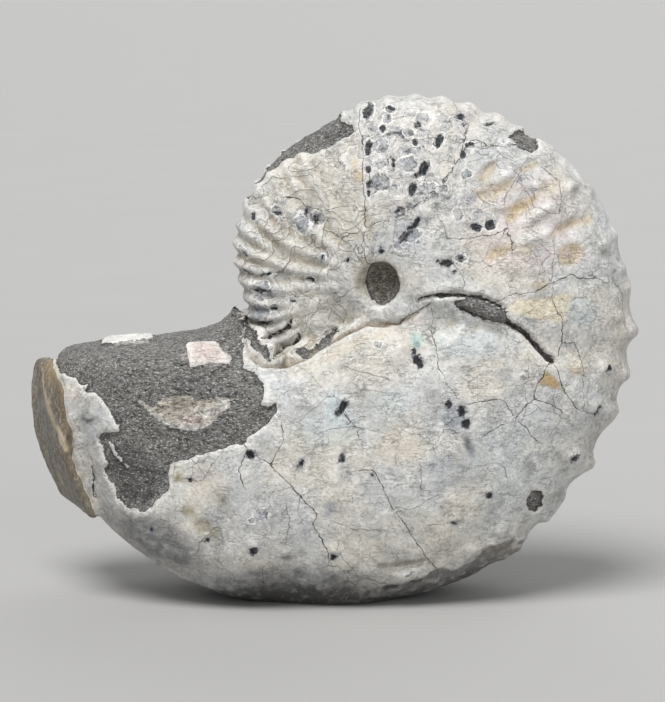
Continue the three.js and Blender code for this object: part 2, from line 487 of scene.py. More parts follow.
@dataclass
class EndPlate:
    """The broken plate that closes the left end."""

    half_width: float = 11.5
    yaw: float = 8.0
    edge: Outline = (
        (-60.6, -16.9), (-63.4, -17.3), (-64.4, -20.0), (-64.8, -24.0), (-64.3, -30.0), (-62.5, -37.0),
        (-60.0, -42.8), (-58.2, -45.2), (-54.0, -44.0), (-55.0, -33.0), (-57.0, -24.0), (-57.3, -17.0),
    )
    edge_steps: int = 44

    def build(self) -> bmesh.types.BMesh:
        """Make the plate by extruding its outline across the fossil.

        Returns:
            The plate in millimetres from the umbilicus.
        """
        body = bmesh.new()
        rim = smooth_line(self.edge, self.edge_steps)
        face = body.faces.new([body.verts.new((x, -self.half_width, z)) for x, z in rim])
        grown = bmesh.ops.extrude_face_region(body, geom=[face])
        moved = [item for item in grown["geom"] if isinstance(item, bmesh.types.BMVert)]
        bmesh.ops.translate(body, verts=moved, vec=(0.0, 2.0 * self.half_width, 0.0))
        hinge = (self.edge[0][0], 0.0, 0.0)
        turn = Matrix.Rotation(math.radians(self.yaw), 3, "Z")
        bmesh.ops.rotate(body, verts=body.verts, cent=hinge, matrix=turn)
        bmesh.ops.recalc_face_normals(body, faces=body.faces)
        return body


@dataclass
class Surface:
    """The fossil's surface while it is worked, with the photograph's pixel of each place."""

    places: Array
    umbilicus: Point
    spiral: Spiral
    view: PhotoView
    back_fade: Fade = (2.0, 9.0)
    wander_noises: tuple[Noise, Noise] = (Noise(2.2, 3, 11.3), Noise(2.2, 3, 47.9))
    x: Array = field(init=False)
    y: Array = field(init=False)
    back_x: Array = field(init=False)
    back_y: Array = field(init=False)
    behind: Array = field(init=False)
    angle: Array = field(init=False)
    reach: Array = field(init=False)
    wander: Array = field(init=False)

    def __post_init__(self) -> None:
        """Find each place's pixel, its spiral angle and its reach from the umbilicus."""
        front = self.places.copy()
        front[:, 1] = np.minimum(front[:, 1], 0.0)
        self.x, self.y = self.view.project(front)
        middle = self.places.copy()
        middle[:, 1] = 0.0
        self.back_x, self.back_y = self.view.project(middle)
        self.behind = ease(self.places[:, 1], *self.back_fade)
        from_x = self.places[:, 0] - self.umbilicus[0]
        from_z = self.places[:, 2] - self.umbilicus[1]
        self.angle = Spiral.angle(from_x, from_z)
        self.reach = np.hypot(from_x, from_z) / self.spiral.radius(self.angle)
        self.wander = np.stack([wandering.at(self.places) for wandering in self.wander_noises])

    def ragged(self, pixels: float) -> tuple[Array, Array]:
        """Return the front pixels, moved a little so that borders drawn on them are ragged."""
        return self.x + pixels * self.wander[0], self.y + pixels * self.wander[1]

    def ragged_back(self, pixels: float) -> tuple[Array, Array]:
        """Return the back flank's pixels, moved in the same way."""
        return self.back_x + pixels * self.wander[0], self.back_y + pixels * self.wander[1]

    def both(self, front: Array, back: Array, limit: float) -> Array:
        """Join the front flank's values and the back's, held within a limit."""
        return mix(np.clip(front, -limit, limit), np.clip(back, -limit, limit), self.behind)

    def millimetres(self, pixels: Array) -> Array:
        """Turn a distance in pixels into millimetres."""
        return pixels / self.view.pixels_per_mm


@dataclass(frozen=True)
class Oval:
    """A tilted oval on the flank, in pixels of the photograph."""

    x: float
    y: float
    half_width: float
    half_height: float
    tilt: float = 0.0
    stray: float = 0.5
    most_stray: float = 4.5
    softness: Fade = (0.45, 1.25)

    def spread(self, x: Array, y: Array) -> Array:
        """Return 0 at the oval's middle and 1 on its edge."""
        turn = math.radians(self.tilt)
        along = (x - self.x) * math.cos(turn) + (y - self.y) * math.sin(turn)
        across = (y - self.y) * math.cos(turn) - (x - self.x) * math.sin(turn)
        return np.hypot(along / self.half_width, across / self.half_height)

    def depth(self, x: Array, y: Array) -> Array:
        """Return how deep places lie inside the oval."""
        return (1.0 - self.spread(x, y)) * min(self.half_width, self.half_height)

    def raggedness(self) -> float:
        """Return how far its edge strays when it is a stain."""
        return min(self.most_stray, self.stray * min(self.half_width, self.half_height))

    def fill(self, x: Array, y: Array) -> Array:
        """Return 1 well inside it, fading to 0 past its edge."""
        return 1.0 - ease(self.spread(x, y), *self.softness)


@dataclass(frozen=True)
class Patch:
    """A patch with a crisper edge on the flank, in pixels of the photograph."""

    outline: Outline
    softness: float = 1.2
    stray: float = 1.2

    def raggedness(self) -> float:
        """Return how far its edge strays when it is a stain."""
        return self.stray

    def fill(self, x: Array, y: Array) -> Array:
        """Return 1 inside it, fading to 0 past its edge."""
        return ease(outline_depth(x, y, self.outline), -self.softness, self.softness)


@dataclass(frozen=True)
class Streak:
    """A line of changing width on the flank, as (x, y, half width) in pixels."""

    points: tuple[tuple[float, float, float], ...]
    softness: Fade = (-1.2, 1.0)
    stray: float = 1.0

    def depth(self, x: Array, y: Array) -> Array:
        """Return how deep places lie inside the streak."""
        offset, place = line_offset(x, y, tuple((px, py) for px, py, _ in self.points))
        width = np.interp(place, np.arange(len(self.points)), [point[2] for point in self.points])
        return width - np.abs(offset)

    def raggedness(self) -> float:
        """Return how far its edge strays when it is a stain."""
        return self.stray

    def fill(self, x: Array, y: Array) -> Array:
        """Return 1 on it, fading to 0 beside it."""
        return ease(self.depth(x, y), *self.softness)


@dataclass
class CoilFlank:
    """Where the coil shows on the flank, above the seam with the body chamber."""

    outline: Outline = (
        (225, 290), (240, 306), (246, 340), (262, 362), (280, 364), (305, 355), (340, 336), (370, 321),
        (400, 312), (430, 302), (460, 300), (505, 320), (553, 360), (572, 402), (600, 412), (690, 430),
        (720, 40), (180, 40),
    )
    border: Fade = (-3.0, 3.0)

    def cover(self, surface: Surface) -> Array:
        """Return 1 on the coil and 0 on the body chamber."""
        return ease(outline_depth(surface.x, surface.y, self.outline), *self.border)


@dataclass
class Ribs:
    """The coil's ribs. Those near the umbilicus split in two towards the keel."""

    inner: float = 0.38
    inner_start: Fade = (-30.0, -8.0)
    inner_rise: Fade = (0.16, 0.45)
    inner_fall: Fade = (0.6, 0.9)
    outer: float = 0.4
    outer_rise: Fade = (0.55, 0.85)
    keel: float = 0.62
    keel_rise: Fade = (0.8, 0.98)
    sweep: float = 5.0
    waver: float = 0.34
    waver_noise: Noise = Noise(9.0, 2, 3.7)
    steadying: float = 0.8
    steadying_rise: Fade = (0.75, 0.95)
    patchiness: float = 0.75
    patch_middle: float = 0.8
    patch_limits: Fade = (0.2, 1.4)
    patch_noise: Noise = Noise(11.0, 2, 63.1)
    weak: float = 0.62
    fade: Fade = (112.0, 175.0)
    shell_edge: Fade = (-0.2, 0.4)
    layer_step: float = 0.28
    layer_border: Fade = (82.6, 84.0)
    layer_rise: Fade = (0.1, 0.2)
    layer_end: Fade = (185.0, 200.0)

    def height(self, surface: Surface, cover: Array, bare: Array) -> Array:
        """Return the ribs' relief.

        Args:
            surface: The surface that they are on.
            cover: 1 on the coil and 0 elsewhere.
            bare: How far places lie inside the lost shell.

        Returns:
            Heights in millimetres.
        """
        angle, reach, places = surface.angle, surface.reach, surface.places
        swept = angle + self.sweep * np.sin(np.pi * np.clip(reach, 0.0, 1.0))
        stray = self.waver * (1.0 - self.steadying * ease(reach, *self.steadying_rise))
        count = surface.spiral.rib_count(swept) + stray * self.waver_noise.at(places)
        inner = self.inner * np.cos(np.pi * count) * ease(angle, *self.inner_start)
        inner *= ease(reach, *self.inner_rise) * (1.0 - ease(reach, *self.inner_fall))
        crest = mix(self.outer, self.keel, ease(reach, *self.keel_rise))
        outer = crest * np.cos(2.0 * np.pi * count) * ease(reach, *self.outer_rise)
        patchy = self.patch_middle + self.patchiness * self.patch_noise.at(places)
        past = ease(angle, *self.layer_border)
        weaker = mix(1.0, self.weak * (1.0 - ease(angle, *self.fade)), past)
        strength = weaker * np.clip(patchy, *self.patch_limits) * (1.0 - ease(bare, *self.shell_edge))
        layer = past * ease(reach, *self.layer_rise) * (1.0 - ease(angle, *self.layer_end))
        return cover * (strength * (inner + outer) + self.layer_step * layer)


@dataclass
class Crust:
    """Flaked layers of the coil's shell, which stand in low terraces."""

    noise: Noise = Noise(10.0, 3, 91.3)
    step: float = 0.17
    levels: tuple[float, ...] = (-0.3, -0.02, 0.26)
    level_slope: float = 0.04
    elsewhere: float = 0.35
    left_border: Fade = (80.0, 86.0)
    shell_edge: Fade = (-0.2, 0.3)
    umbilicus_fade: Fade = (0.15, 0.35)

    def layers(self, surface: Surface) -> Array:
        """Return the field whose levels are the flakes' edges."""
        return self.noise.at(surface.places)

    def cover(self, surface: Surface, coil: Array, bare: Array) -> Array:
        """Return how strongly the shell is flaked.

        Args:
            surface: The surface to read.
            coil: 1 on the coil and 0 elsewhere.
            bare: How far places lie inside the lost shell.

        Returns:
            1 on the coil's left, less on its right and 0 off it.
        """
        left = 1.0 - ease(surface.angle, *self.left_border)
        kept = 1.0 - ease(bare, *self.shell_edge)
        return coil * kept * mix(self.elsewhere, 1.0, left) * ease(surface.reach, *self.umbilicus_fade)

    def height(self, layers: Array, cover: Array) -> Array:
        """Return the terraces' relief in millimetres."""
        slope = self.level_slope
        return self.step * cover * sum(ease(layers, at - slope, at + slope) for at in self.levels)


@dataclass
class Seam:
    """Where the body chamber's edge laps over the coil, with a lip and a groove beside it, which the stains
    darken with brown rock and painted shade.
    """

    line: Outline = (
        (240, 300), (241, 335), (247, 357), (261, 367), (282, 368), (305, 360), (325, 348), (352, 333),
        (368, 325), (384, 326), (400, 325), (416, 315), (432, 302),
    )
    groove: float = 0.55
    groove_shift: float = 1.4
    lip: float = 0.3
    lip_shift: float = 1.6
    width: float = 2.0
    stray: float = 1.0
    start: Fade = (0.0, 0.4)
    end: Fade = (11.0, 12.0)

    def sides(self, surface: Surface) -> tuple[Array, Array]:
        """Find the seam's groove and lip.

        Args:
            surface: The surface to read.

        Returns:
            How strongly each place belongs to the groove, and to the lip.
        """
        offset, place = line_offset(*surface.ragged(self.stray), self.line)
        shown = (1.0 - surface.behind) * ease(place, *self.start) * (1.0 - ease(place, *self.end))
        groove = shown * bell(offset + self.groove_shift, self.width)
        return groove, shown * bell(offset - self.lip_shift, self.width)

    def height(self, surface: Surface) -> Array:
        """Return the groove's and the lip's relief in millimetres."""
        groove, lip = self.sides(surface)
        return self.lip * lip - self.groove * groove


@dataclass
class Dents:
    """Knobs and hollows of the flank, each an oval with a height in millimetres."""

    front: tuple[tuple[Oval, float], ...] = (
        (Oval(612, 236, 9, 9), 0.5), (Oval(622, 268, 8, 8), 0.6), (Oval(632, 331, 9, 10), 0.9),
        (Oval(628, 375, 8, 10), 0.8), (Oval(611, 410, 9, 10), 0.8), (Oval(592, 464, 9, 10), 0.9),
        (Oval(569, 499, 9, 10), 0.9), (Oval(546, 518, 8, 8), 0.7), (Oval(516, 545, 9, 7), 0.9),
        (Oval(588, 192, 8, 8), 0.4), (Oval(563, 163, 8, 8), 0.4), (Oval(603, 368, 8, 8), 0.7),
        (Oval(576, 455, 9, 8), 0.7), (Oval(593, 407, 8, 9), 0.6), (Oval(616, 318, 7, 8), 0.5),
        (Oval(500, 531, 10, 7, -30), 0.7), (Oval(470, 549, 10, 6, -20), 0.6), (Oval(577, 368, 8, 7), 0.5),
        (Oval(528, 466, 9, 9), 0.4), (Oval(490, 490, 8, 8), 0.4), (Oval(455, 519, 7, 6), 0.35),
        (Oval(333, 550, 8, 7), 0.5), (Oval(287, 552, 8, 7), 0.45), (Oval(253, 545, 9, 8), 0.6),
        (Oval(207, 535, 8, 6), 0.5), (Oval(250, 449, 9, 7), 0.4), (Oval(320, 588, 8, 6), 0.3),
        (Oval(343, 398, 9, 8), 0.35), (Oval(301, 457, 7, 7), 0.3), (Oval(189, 475, 8, 6), 0.4),
        (Oval(89, 416, 8, 6), 0.4), (Oval(528, 167, 14, 8, -30), -0.8), (Oval(521, 209, 21, 11, -36), -1.0),
        (Oval(568, 227, 26, 10, -24), -1.0), (Oval(500, 253, 18, 11, -25), -0.9),
        (Oval(571, 254, 16, 12, -20), -0.8), (Oval(486, 174, 10, 16, 30), -0.8),
        (Oval(494, 192, 22, 11, -22), -0.9), (Oval(505, 175, 17, 6, -40), 0.8),
        (Oval(502, 206, 16, 5, -18), 0.4), (Oval(540, 212, 24, 7, -30), 0.9),
        (Oval(533, 238, 28, 8, -20), 0.8), (Oval(569, 188, 10, 7, -30), 0.8), (Oval(600, 246, 8, 9), 0.9),
        (Oval(568, 255, 5, 5), 0.5), (Oval(545, 188, 18, 6, -38), -0.4), (Oval(411, 232, 9, 20, 32), -0.4),
        (Oval(195, 409, 40, 19, -4), -0.4), (Oval(177, 427, 22, 4, 14), 0.35),
        (Oval(214, 419, 14, 4, -38), 0.3), (Oval(197, 408, 5, 4), 0.45), (Oval(304, 221, 15, 12), -0.35),
        (Oval(264, 300, 16, 6), -0.35), (Oval(381, 282, 30, 30), -0.7), (Oval(407, 573, 20, 5, -10), 0.6),
        (Oval(538, 300, 40, 12, 6), -0.4), (Oval(455, 262, 12, 6, 8), -0.5),
    )
    stray: float = 1.5
    steepness: float = 0.72

    def height(self, surface: Surface) -> Array:
        """Return the knobs' and hollows' relief in millimetres."""
        x, y = surface.ragged(self.stray)
        relief = sum(rise * bell(oval.spread(x, y), self.steepness) for oval, rise in self.front)
        return relief * (1.0 - surface.behind)


@dataclass
class BaseBreak:
    """The broken, darker underside edge below the right of the body chamber."""

    outline: Outline = (
        (384, 590), (402, 586), (419, 581), (428, 574), (438, 568), (450, 570), (463, 567), (472, 558),
        (482, 551), (494, 546), (504, 541), (512, 538), (524, 541), (536, 548), (530, 600), (480, 640),
        (440, 640), (400, 612), (386, 604),
    )
    stray: float = 3.0
    border: Fade = (-1.2, 1.8)
    depth_cut: float = 0.15
    jagged: float = 0.45
    jag_noise: Noise = Noise(3.4, 3, 88.2)
    lip: float = 0.35
    lip_shift: float = 3.5
    lip_width: float = 3.0
    start: Fade = (386.0, 408.0)

    def depth(self, surface: Surface) -> Array:
        """Return how many pixels places lie inside the broken edge."""
        return outline_depth(*surface.ragged(self.stray), self.outline)

    def cover(self, surface: Surface) -> Array:
        """Return 1 on the broken edge and 0 elsewhere."""
        return ease(self.depth(surface), *self.border) * self.shown(surface)

    def shown(self, surface: Surface) -> Array:
        """Return 1 where the edge is broken in full, fading to 0 at its left end and behind."""
        return ease(surface.x, *self.start) * (1.0 - surface.behind)

    def height(self, surface: Surface) -> Array:
        """Return the relief of the broken edge and of the shell's lip above it, in millimetres."""
        jagged = self.jagged * self.jag_noise.at(surface.places)
        lip = self.lip * bell(self.depth(surface) + self.lip_shift, self.lip_width) * self.shown(surface)
        return self.cover(surface) * (jagged - self.depth_cut) + lip


@dataclass
class BareRock:
    """Where the shell is lost and the dark rock shows."""

    end_outline: Outline = (
        (49, 357), (36, 330), (95, 318), (160, 308), (215, 298), (237, 290), (243, 320), (243, 350),
        (244, 366), (257, 375), (264, 383), (264, 396), (260, 404), (267, 408), (277, 402), (276, 412),
        (267, 425), (250, 437), (244, 444), (227, 447), (204, 454), (188, 460), (173, 462), (168, 471),
        (169, 484), (167, 492), (154, 500), (152, 507), (142, 514), (127, 509), (116, 498), (112, 484),
        (104, 471), (106, 462), (102, 446), (96, 440), (102, 433), (118, 431), (118, 425), (110, 412),
        (102, 400), (93, 394), (79, 391), (86, 384), (79, 386), (75, 379), (66, 374), (59, 373), (54, 364),
    )
    shell_patches: tuple[Outline, ...] = (
        ((185, 341), (217, 340), (223, 350), (232, 356), (230, 364), (211, 361), (190, 367)),
        ((101, 343), (103, 336), (118, 328), (153, 326), (152, 336), (130, 340), (112, 342)),
    )
    shell_sliver: Streak = Streak(((109, 442, 1.3), (115, 455, 1.6), (126, 467, 1.0)))
    coil_patches: tuple[Outline, ...] = (
        ((248, 198), (256, 184), (266, 174), (283, 162), (297, 155), (320, 151), (339, 141), (352, 132),
         (352, 123), (340, 118), (345, 96), (300, 104), (250, 146), (236, 190)),
        ((508, 137), (518, 129), (528, 131), (536, 136), (539, 150), (532, 154), (521, 149)),
    )
    umbilicus: Oval = Oval(381.5, 283, 15, 20)
    hole: Oval = Oval(535, 501, 7.5, 11, 25)
    streaks: tuple[Streak, ...] = (
        Streak(((246, 316, 2), (251, 335, 4), (262, 352, 4.5), (272, 359, 2))),
        Streak(((261, 339, 0.8), (275, 336, 1.6), (286, 329, 2.8), (292, 322, 1.4))),
        Streak(((276, 354, 1), (286, 348, 1.8), (296, 342, 2.6), (298, 335, 1.2))),
        Streak(((299, 355, 2), (308, 352, 3.4), (317, 347, 3.2), (326, 340, 4.4), (334, 333, 4),
         (341, 329, 1.6))),
    )
    slit: Streak = Streak(((90, 458, 0.3), (92, 470, 0.8), (93, 486, 1.3), (95, 500, 1.2)))
    lump: Streak = Streak((
        (459, 304, 5), (470, 305, 8), (482, 309.5, 9.5), (494, 314, 8.5), (503, 318.5, 5.5), (508, 322, 2),
    ))
    gouges: tuple[Streak, ...] = (
        Streak(((418, 300, 0.5), (430, 297, 1.6), (442, 294.5, 2.4), (454, 293.5, 2.2), (468, 295, 1.2),
         (486, 298.5, 1.2), (498, 304, 1.2), (506, 311, 0.8))),
        Streak(((507, 323, 1.6), (514, 327, 3.6), (524, 333, 2.8), (533, 341, 2.2), (541, 350, 2.6),
         (549, 358, 3), (554, 362, 2))),
    )
    back_outlines: tuple[Outline, ...] = (
        ((36, 330), (95, 300), (160, 290), (237, 280), (242, 330), (232, 352), (205, 372), (214, 398),
         (182, 418), (150, 409), (128, 437), (96, 428), (84, 398), (48, 385)),
        ((430, 108), (470, 96), (512, 118), (504, 152), (470, 160), (442, 143)),
        ((560, 420), (590, 404), (612, 428), (590, 470), (562, 462)),
        ((300, 470), (338, 455), (372, 476), (361, 506), (322, 514), (298, 496)),
    )
    back_umbilicus: Oval = Oval(381, 285, 15.5, 16)
    stray: float = 2.2
    patch_stray: float = 0.8
    hole_stray: float = 1.3
    streak_stray: float = 4.5
    back_stray: float = 6.0
    most_depth: float = 12.0
    patch_crispness: float = 2.5
    recess: float = 0.8
    recess_edge: Fade = (-0.25, 0.35)
    gouge_depth: float = 1.3
    gouge_slope: Fade = (-1.5, 2.5)
    lump_rise: float = 1.7
    lump_slope: Fade = (0.0, 6.5)
    lumpy: float = 0.24
    lump_noise: Noise = Noise(3.2, 4, 23.1)
    grainy: float = 0.15
    grain_noise: Noise = Noise(1.3, 2, 71.5)

    def depth(self, surface: Surface) -> Array:
        """Return how far places lie inside the lost shell.

        Args:
            surface: The surface to read.

        Returns:
            Millimetres, positive where rock shows and negative where shell is left.
        """
        x, y = surface.ragged(self.stray)
        front = outline_depth(x, y, self.end_outline)
        for patch in self.shell_patches:
            kept = outline_depth(*surface.ragged(self.patch_stray), patch)
            front = np.minimum(front, -self.patch_crispness * kept)
        front = np.minimum(front, -self.shell_sliver.depth(surface.x, surface.y))
        lost = [outline_depth(x, y, patch) for patch in self.coil_patches]
        lost += [shape.depth(x, y) for shape in (self.lump, *self.gouges)]
        for shapes, stray in (
            ((self.umbilicus, self.hole, self.slit), self.hole_stray), (self.streaks, self.streak_stray),
        ):
            lost += [shape.depth(*surface.ragged(stray)) for shape in shapes]
        front = np.max([front, *lost], axis=0)
        back_x, back_y = surface.ragged_back(self.back_stray)
        back = [outline_depth(back_x, back_y, patch) for patch in self.back_outlines]
        back = np.max([self.back_umbilicus.depth(back_x, back_y), *back], axis=0)
        return surface.millimetres(surface.both(front, back, self.most_depth))

    def height(self, surface: Surface, depth: Array) -> Array:
        """Return the recess and roughness of the bare rock.

        Args:
            surface: The surface that it is on.
            depth: How far places lie inside the lost shell.

        Returns:
            Heights in millimetres.
        """
        x, y, shown = surface.x, surface.y, 1.0 - surface.behind
        gouged = np.max([ease(gouge.depth(x, y), *self.gouge_slope) for gouge in self.gouges], axis=0)
        swollen = ease(self.lump.depth(x, y), *self.lump_slope)
        rough = self.lumpy * self.lump_noise.at(surface.places)
        rough += self.grainy * self.grain_noise.at(surface.places)
        uneven = ease(depth, *self.recess_edge) * (rough - self.recess)
        return uneven + shown * (self.lump_rise * swollen - self.gouge_depth * gouged)


@dataclass
class Pits:
    """Small dark pits and mineral spots in the shell."""

    front: tuple[Oval, ...] = (
        Oval(418, 361, 4.2, 7.5, -28), Oval(414, 352, 2.2, 3), Oval(343, 406, 4.5, 7, 20),
        Oval(337, 413, 3, 3), Oval(342, 458, 2.4, 4.2, 10), Oval(301, 464, 2, 5.5, 32),
        Oval(372, 475, 1.4, 1.4), Oval(349, 473, 1.8, 1.4), Oval(432, 466, 1.4, 1.4),
        Oval(449, 404, 3.4, 4.4), Oval(462, 411, 3.6, 4.8), Oval(466, 424, 4.4, 4.6),
        Oval(489, 495, 2.8, 3), Oval(454, 524, 2.2, 1.6), Oval(608, 369, 3.4, 3), Oval(574, 458, 2, 4, 35),
        Oval(597, 411, 2, 5, 25), Oval(333, 556, 3, 3.2), Oval(253, 551, 4, 4), Oval(207, 541, 3, 2),
        Oval(189, 480, 2.6, 2), Oval(152, 530, 1.8, 1.8), Oval(250, 455, 5, 4, 20),
        Oval(368, 111, 3.4, 8, 18), Oval(390, 109, 4.2, 2), Oval(383, 129, 2.4, 3.2), Oval(368, 146, 3, 8),
        Oval(369, 170, 2.6, 3.6), Oval(394, 164, 1.8, 5), Oval(424, 168, 4, 7, 30),
        Oval(418, 174, 2, 3, 40), Oval(370, 184, 2, 5), Oval(370, 195, 2.2, 3.4),
        Oval(413, 189, 3.8, 6.5, 18), Oval(417, 125, 3, 3.4), Oval(415, 143, 3, 2.4),
        Oval(439, 141, 3.8, 6.2, 25), Oval(460, 118, 3.4, 2.4), Oval(488, 126, 3, 1.8),
        Oval(470, 145, 2.6, 2), Oval(463, 154, 2.2, 5.4, 10), Oval(476, 228, 4.6, 4.2),
        Oval(490, 225, 5.2, 5), Oval(417, 222, 2.4, 4, 30), Oval(411, 229, 3, 6, 40),
        Oval(404, 237, 3.4, 6, 35), Oval(447, 263, 7, 3.2, 3), Oval(437, 261, 1.8, 1.8),
        Oval(461, 258, 3.6, 2.4), Oval(454, 273, 2.6, 1.6), Oval(306, 212, 2.2, 4.8), Oval(316, 220, 3, 5),
        Oval(279, 214, 3.6, 2, 35), Oval(255, 217, 1.9, 2.8), Oval(247, 254, 1.8, 2.8),
        Oval(249, 273, 5, 1.3, 25), Oval(268, 274, 7, 1.3, -8), Oval(310, 280, 3.8, 1.8, 25),
        Oval(262, 291, 9, 1.9), Oval(274, 308, 2.8, 1.8), Oval(294, 302, 2.6, 1.4, 10),
        Oval(264, 322, 6, 1.6, -8), Oval(323, 257, 1.8, 2.8), Oval(347, 260, 3, 1.6, 35),
        Oval(381, 250, 2.4, 3.4), Oval(400, 210, 4.5, 1.6, -35),
    )
    back: tuple[Oval, ...] = (
        Oval(330, 410, 4, 6, 15), Oval(450, 440, 4, 5), Oval(405, 505, 3, 3), Oval(250, 500, 4, 3),
        Oval(545, 330, 4, 5, 30), Oval(500, 470, 3, 4), Oval(440, 190, 4, 7, 25), Oval(380, 150, 3, 7),
        Oval(320, 200, 4, 3), Oval(470, 240, 4, 4), Oval(415, 215, 3, 8, 30),
    )
    stray: float = 1.2
    back_stray: float = 2.0
    most_depth: float = 6.0
    sunk: float = 0.45
    slope: Fade = (-0.35, 0.7)

    def depth(self, surface: Surface) -> Array:
        """Return how far places lie inside a pit.

        Args:
            surface: The surface to read.

        Returns:
            Millimetres, positive inside.
        """
        front = np.max([pit.depth(*surface.ragged(self.stray)) for pit in self.front], axis=0)
        back = np.max([pit.depth(*surface.ragged_back(self.back_stray)) for pit in self.back], axis=0)
        return surface.millimetres(surface.both(front, back, self.most_depth))

    def height(self, depth: Array) -> Array:
        """Return how far the pits sink."""
        return -self.sunk * ease(depth, *self.slope)


@dataclass
class Cracks:
    """The longer cracks through the shell."""

    front: tuple[Outline, ...] = (
        ((244, 444), (254, 452), (270, 465), (289, 484), (317, 514), (313, 525), (325, 547), (330, 561)),
        ((352, 472), (361, 469), (373, 469), (383, 488), (393, 510), (405, 524), (417, 543), (425, 557),
         (434, 565)),
        ((516, 418), (502, 400), (485, 401), (467, 405)),
        ((516, 418), (525, 408), (533, 400), (537, 384), (546, 368), (553, 361)),
        ((533, 400), (552, 404), (562, 412)),
        ((516, 418), (498, 428), (481, 437)),
        ((516, 418), (527, 430), (538, 441)),
        ((551, 297), (561, 319), (563, 342), (557, 356)),
        ((563, 342), (574, 343), (580, 360), (583, 375)),
        ((496, 302), (512, 294), (535, 292), (548, 284), (571, 274), (577, 279), (591, 278), (606, 283)),
        ((553, 361), (561, 380), (570, 401), (581, 410), (594, 414)),
        ((361, 112), (359, 125), (364, 150), (363, 180), (366, 207), (364, 236), (366, 262), (372, 268)),
        ((366, 228), (383, 221), (396, 219), (414, 206), (432, 194), (444, 180), (455, 165)),
        ((285, 197), (298, 198), (304, 206), (322, 211), (346, 206)),
        ((326, 231), (343, 234), (352, 233)),
        ((244, 456), (239, 470), (243, 486)),
        ((270, 465), (276, 455), (283, 440), (281, 425)),
        ((93, 466), (93, 478), (96, 496)),
        ((430, 303), (412, 313), (398, 324), (380, 327), (366, 326)),
        ((343, 412), (352, 424), (358, 436)),
        ((430, 330), (437, 348), (438, 365), (446, 382), (455, 395)),
        ((460, 119), (466, 133), (463, 150), (455, 167), (443, 185), (425, 197)),
        ((468, 140), (490, 146), (515, 146)),
        ((505, 230), (511, 240), (512, 250)),
        ((507, 228), (490, 236), (470, 238), (446, 239)),
    )
    fine: tuple[Outline, ...] = (
        ((453, 102), (458, 113), (463, 121), (468, 127), (463, 136), (458, 143)),
        ((398, 142), (417, 140), (444, 139), (459, 143), (476, 148), (496, 148), (510, 148)),
        ((446, 188), (419, 205), (397, 217), (384, 222)),
        ((474, 192), (485, 202), (495, 207), (503, 205), (507, 193), (517, 178), (520, 170)),
        ((520, 183), (529, 195), (535, 207), (547, 214), (558, 215), (560, 197), (558, 180), (544, 171)),
        ((507, 224), (512, 241), (515, 244)),
        ((552, 241), (553, 261), (552, 278), (552, 297)),
        ((456, 266), (464, 276), (464, 291)),
        ((611, 278), (620, 293), (620, 312), (625, 329)),
        ((591, 271), (596, 280), (606, 283)),
        ((432, 210), (438, 216), (444, 226), (446, 239)),
        ((330, 430), (345, 427), (362, 428), (378, 431)),
        ((420, 466), (421, 482), (420, 490), (433, 492)),
        ((395, 506), (410, 510), (424, 503), (436, 496)),
        ((334, 522), (350, 528), (368, 531), (382, 530)),
        ((345, 365), (360, 372), (374, 376), (388, 379)),
        ((286, 506), (290, 520), (288, 534), (286, 545)),
        ((262, 566), (264, 580), (262, 592)),
        ((478, 466), (495, 462), (505, 468), (508, 478)),
        ((330, 231), (350, 245), (362, 262)),
        ((335, 300), (346, 293), (358, 288)),
        ((300, 318), (320, 309), (338, 304), (346, 310), (344, 325)),
    )
    fine_strength: float = 0.55
    back: tuple[Outline, ...] = (
        ((242, 330), (262, 372), (300, 420), (318, 470)),
        ((430, 300), (470, 330), (505, 372), (560, 420)),
        ((372, 476), (420, 520), (446, 560)),
        ((381, 270), (372, 220), (380, 160), (372, 112)),
        ((505, 372), (470, 420), (450, 440), (405, 505)),
        ((450, 150), (480, 200), (540, 230), (600, 250)),
    )
    stray: float = 1.6
    back_stray: float = 4.0
    reach: Fade = (4.2, 7.0)

    def traces(self, surface: Surface) -> tuple[Array, Array]:
        """Return each place's signed offset from its nearest crack, and whether one is near.

        Args:
            surface: The surface to read.

        Returns:
            Offsets in millimetres, and 1 beside a crack that fades to 0 away from it.
        """
        is_back = surface.places[:, 1] > 0.0
        x, y = (np.where(is_back, back, front) for front, back in zip(
            surface.ragged(self.stray), surface.ragged_back(self.back_stray)))
        offset = np.full(x.shape, FAR_AWAY)
        strength = np.zeros(x.shape)
        for lines, shown, weight in (
            (self.front, ~is_back, 1.0), (self.fine, ~is_back, self.fine_strength), (self.back, is_back, 1.0),
        ):
            for line in lines:
                trace, _ = line_offset(x, y, line)
                closer = shown & (np.abs(trace) < np.abs(offset))
                offset = np.where(closer, trace, offset)
                strength = np.where(closer, weight, strength)
        present = strength * (1.0 - ease(np.abs(offset), *self.reach))
        return surface.millimetres(np.clip(offset, -self.reach[1], self.reach[1])), present


class Tint(Enum):
    """Colours that stain the shell, and that paint shade, shadows and highlights on it."""

    OCHRE = srgb(212, 189, 146)
    TAN = srgb(200, 187, 163)
    YELLOW = srgb(228, 214, 180)
    TEAL = srgb(122, 196, 186)
    PINE = srgb(62, 112, 102)
    SKY = srgb(190, 207, 211)
    BLUE_GREY = srgb(140, 147, 157)
    INK = srgb(58, 68, 84)
    SLATE = srgb(118, 118, 118)
    SOOT_AND_SHADOW = srgb(62, 61, 60)
    PINK = srgb(214, 196, 190)
    PEARL = srgb(204, 194, 180)
    WHITE = srgb(228, 226, 220)
    GOLD = srgb(190, 166, 112)
    UMBER = srgb(96, 78, 56)
    TAUPE = srgb(118, 112, 106)
    OLIVE = srgb(158, 149, 130)
    FAWN = srgb(184, 158, 116)
    BONE = srgb(230, 214, 178)
    BARK = srgb(80, 74, 66)
    MOSS = srgb(152, 138, 102)
    PEACH = srgb(216, 203, 186)
    MILK = srgb(232, 228, 220)


StainOrPaintedLight = tuple[Oval | Patch | Streak, Tint, float]


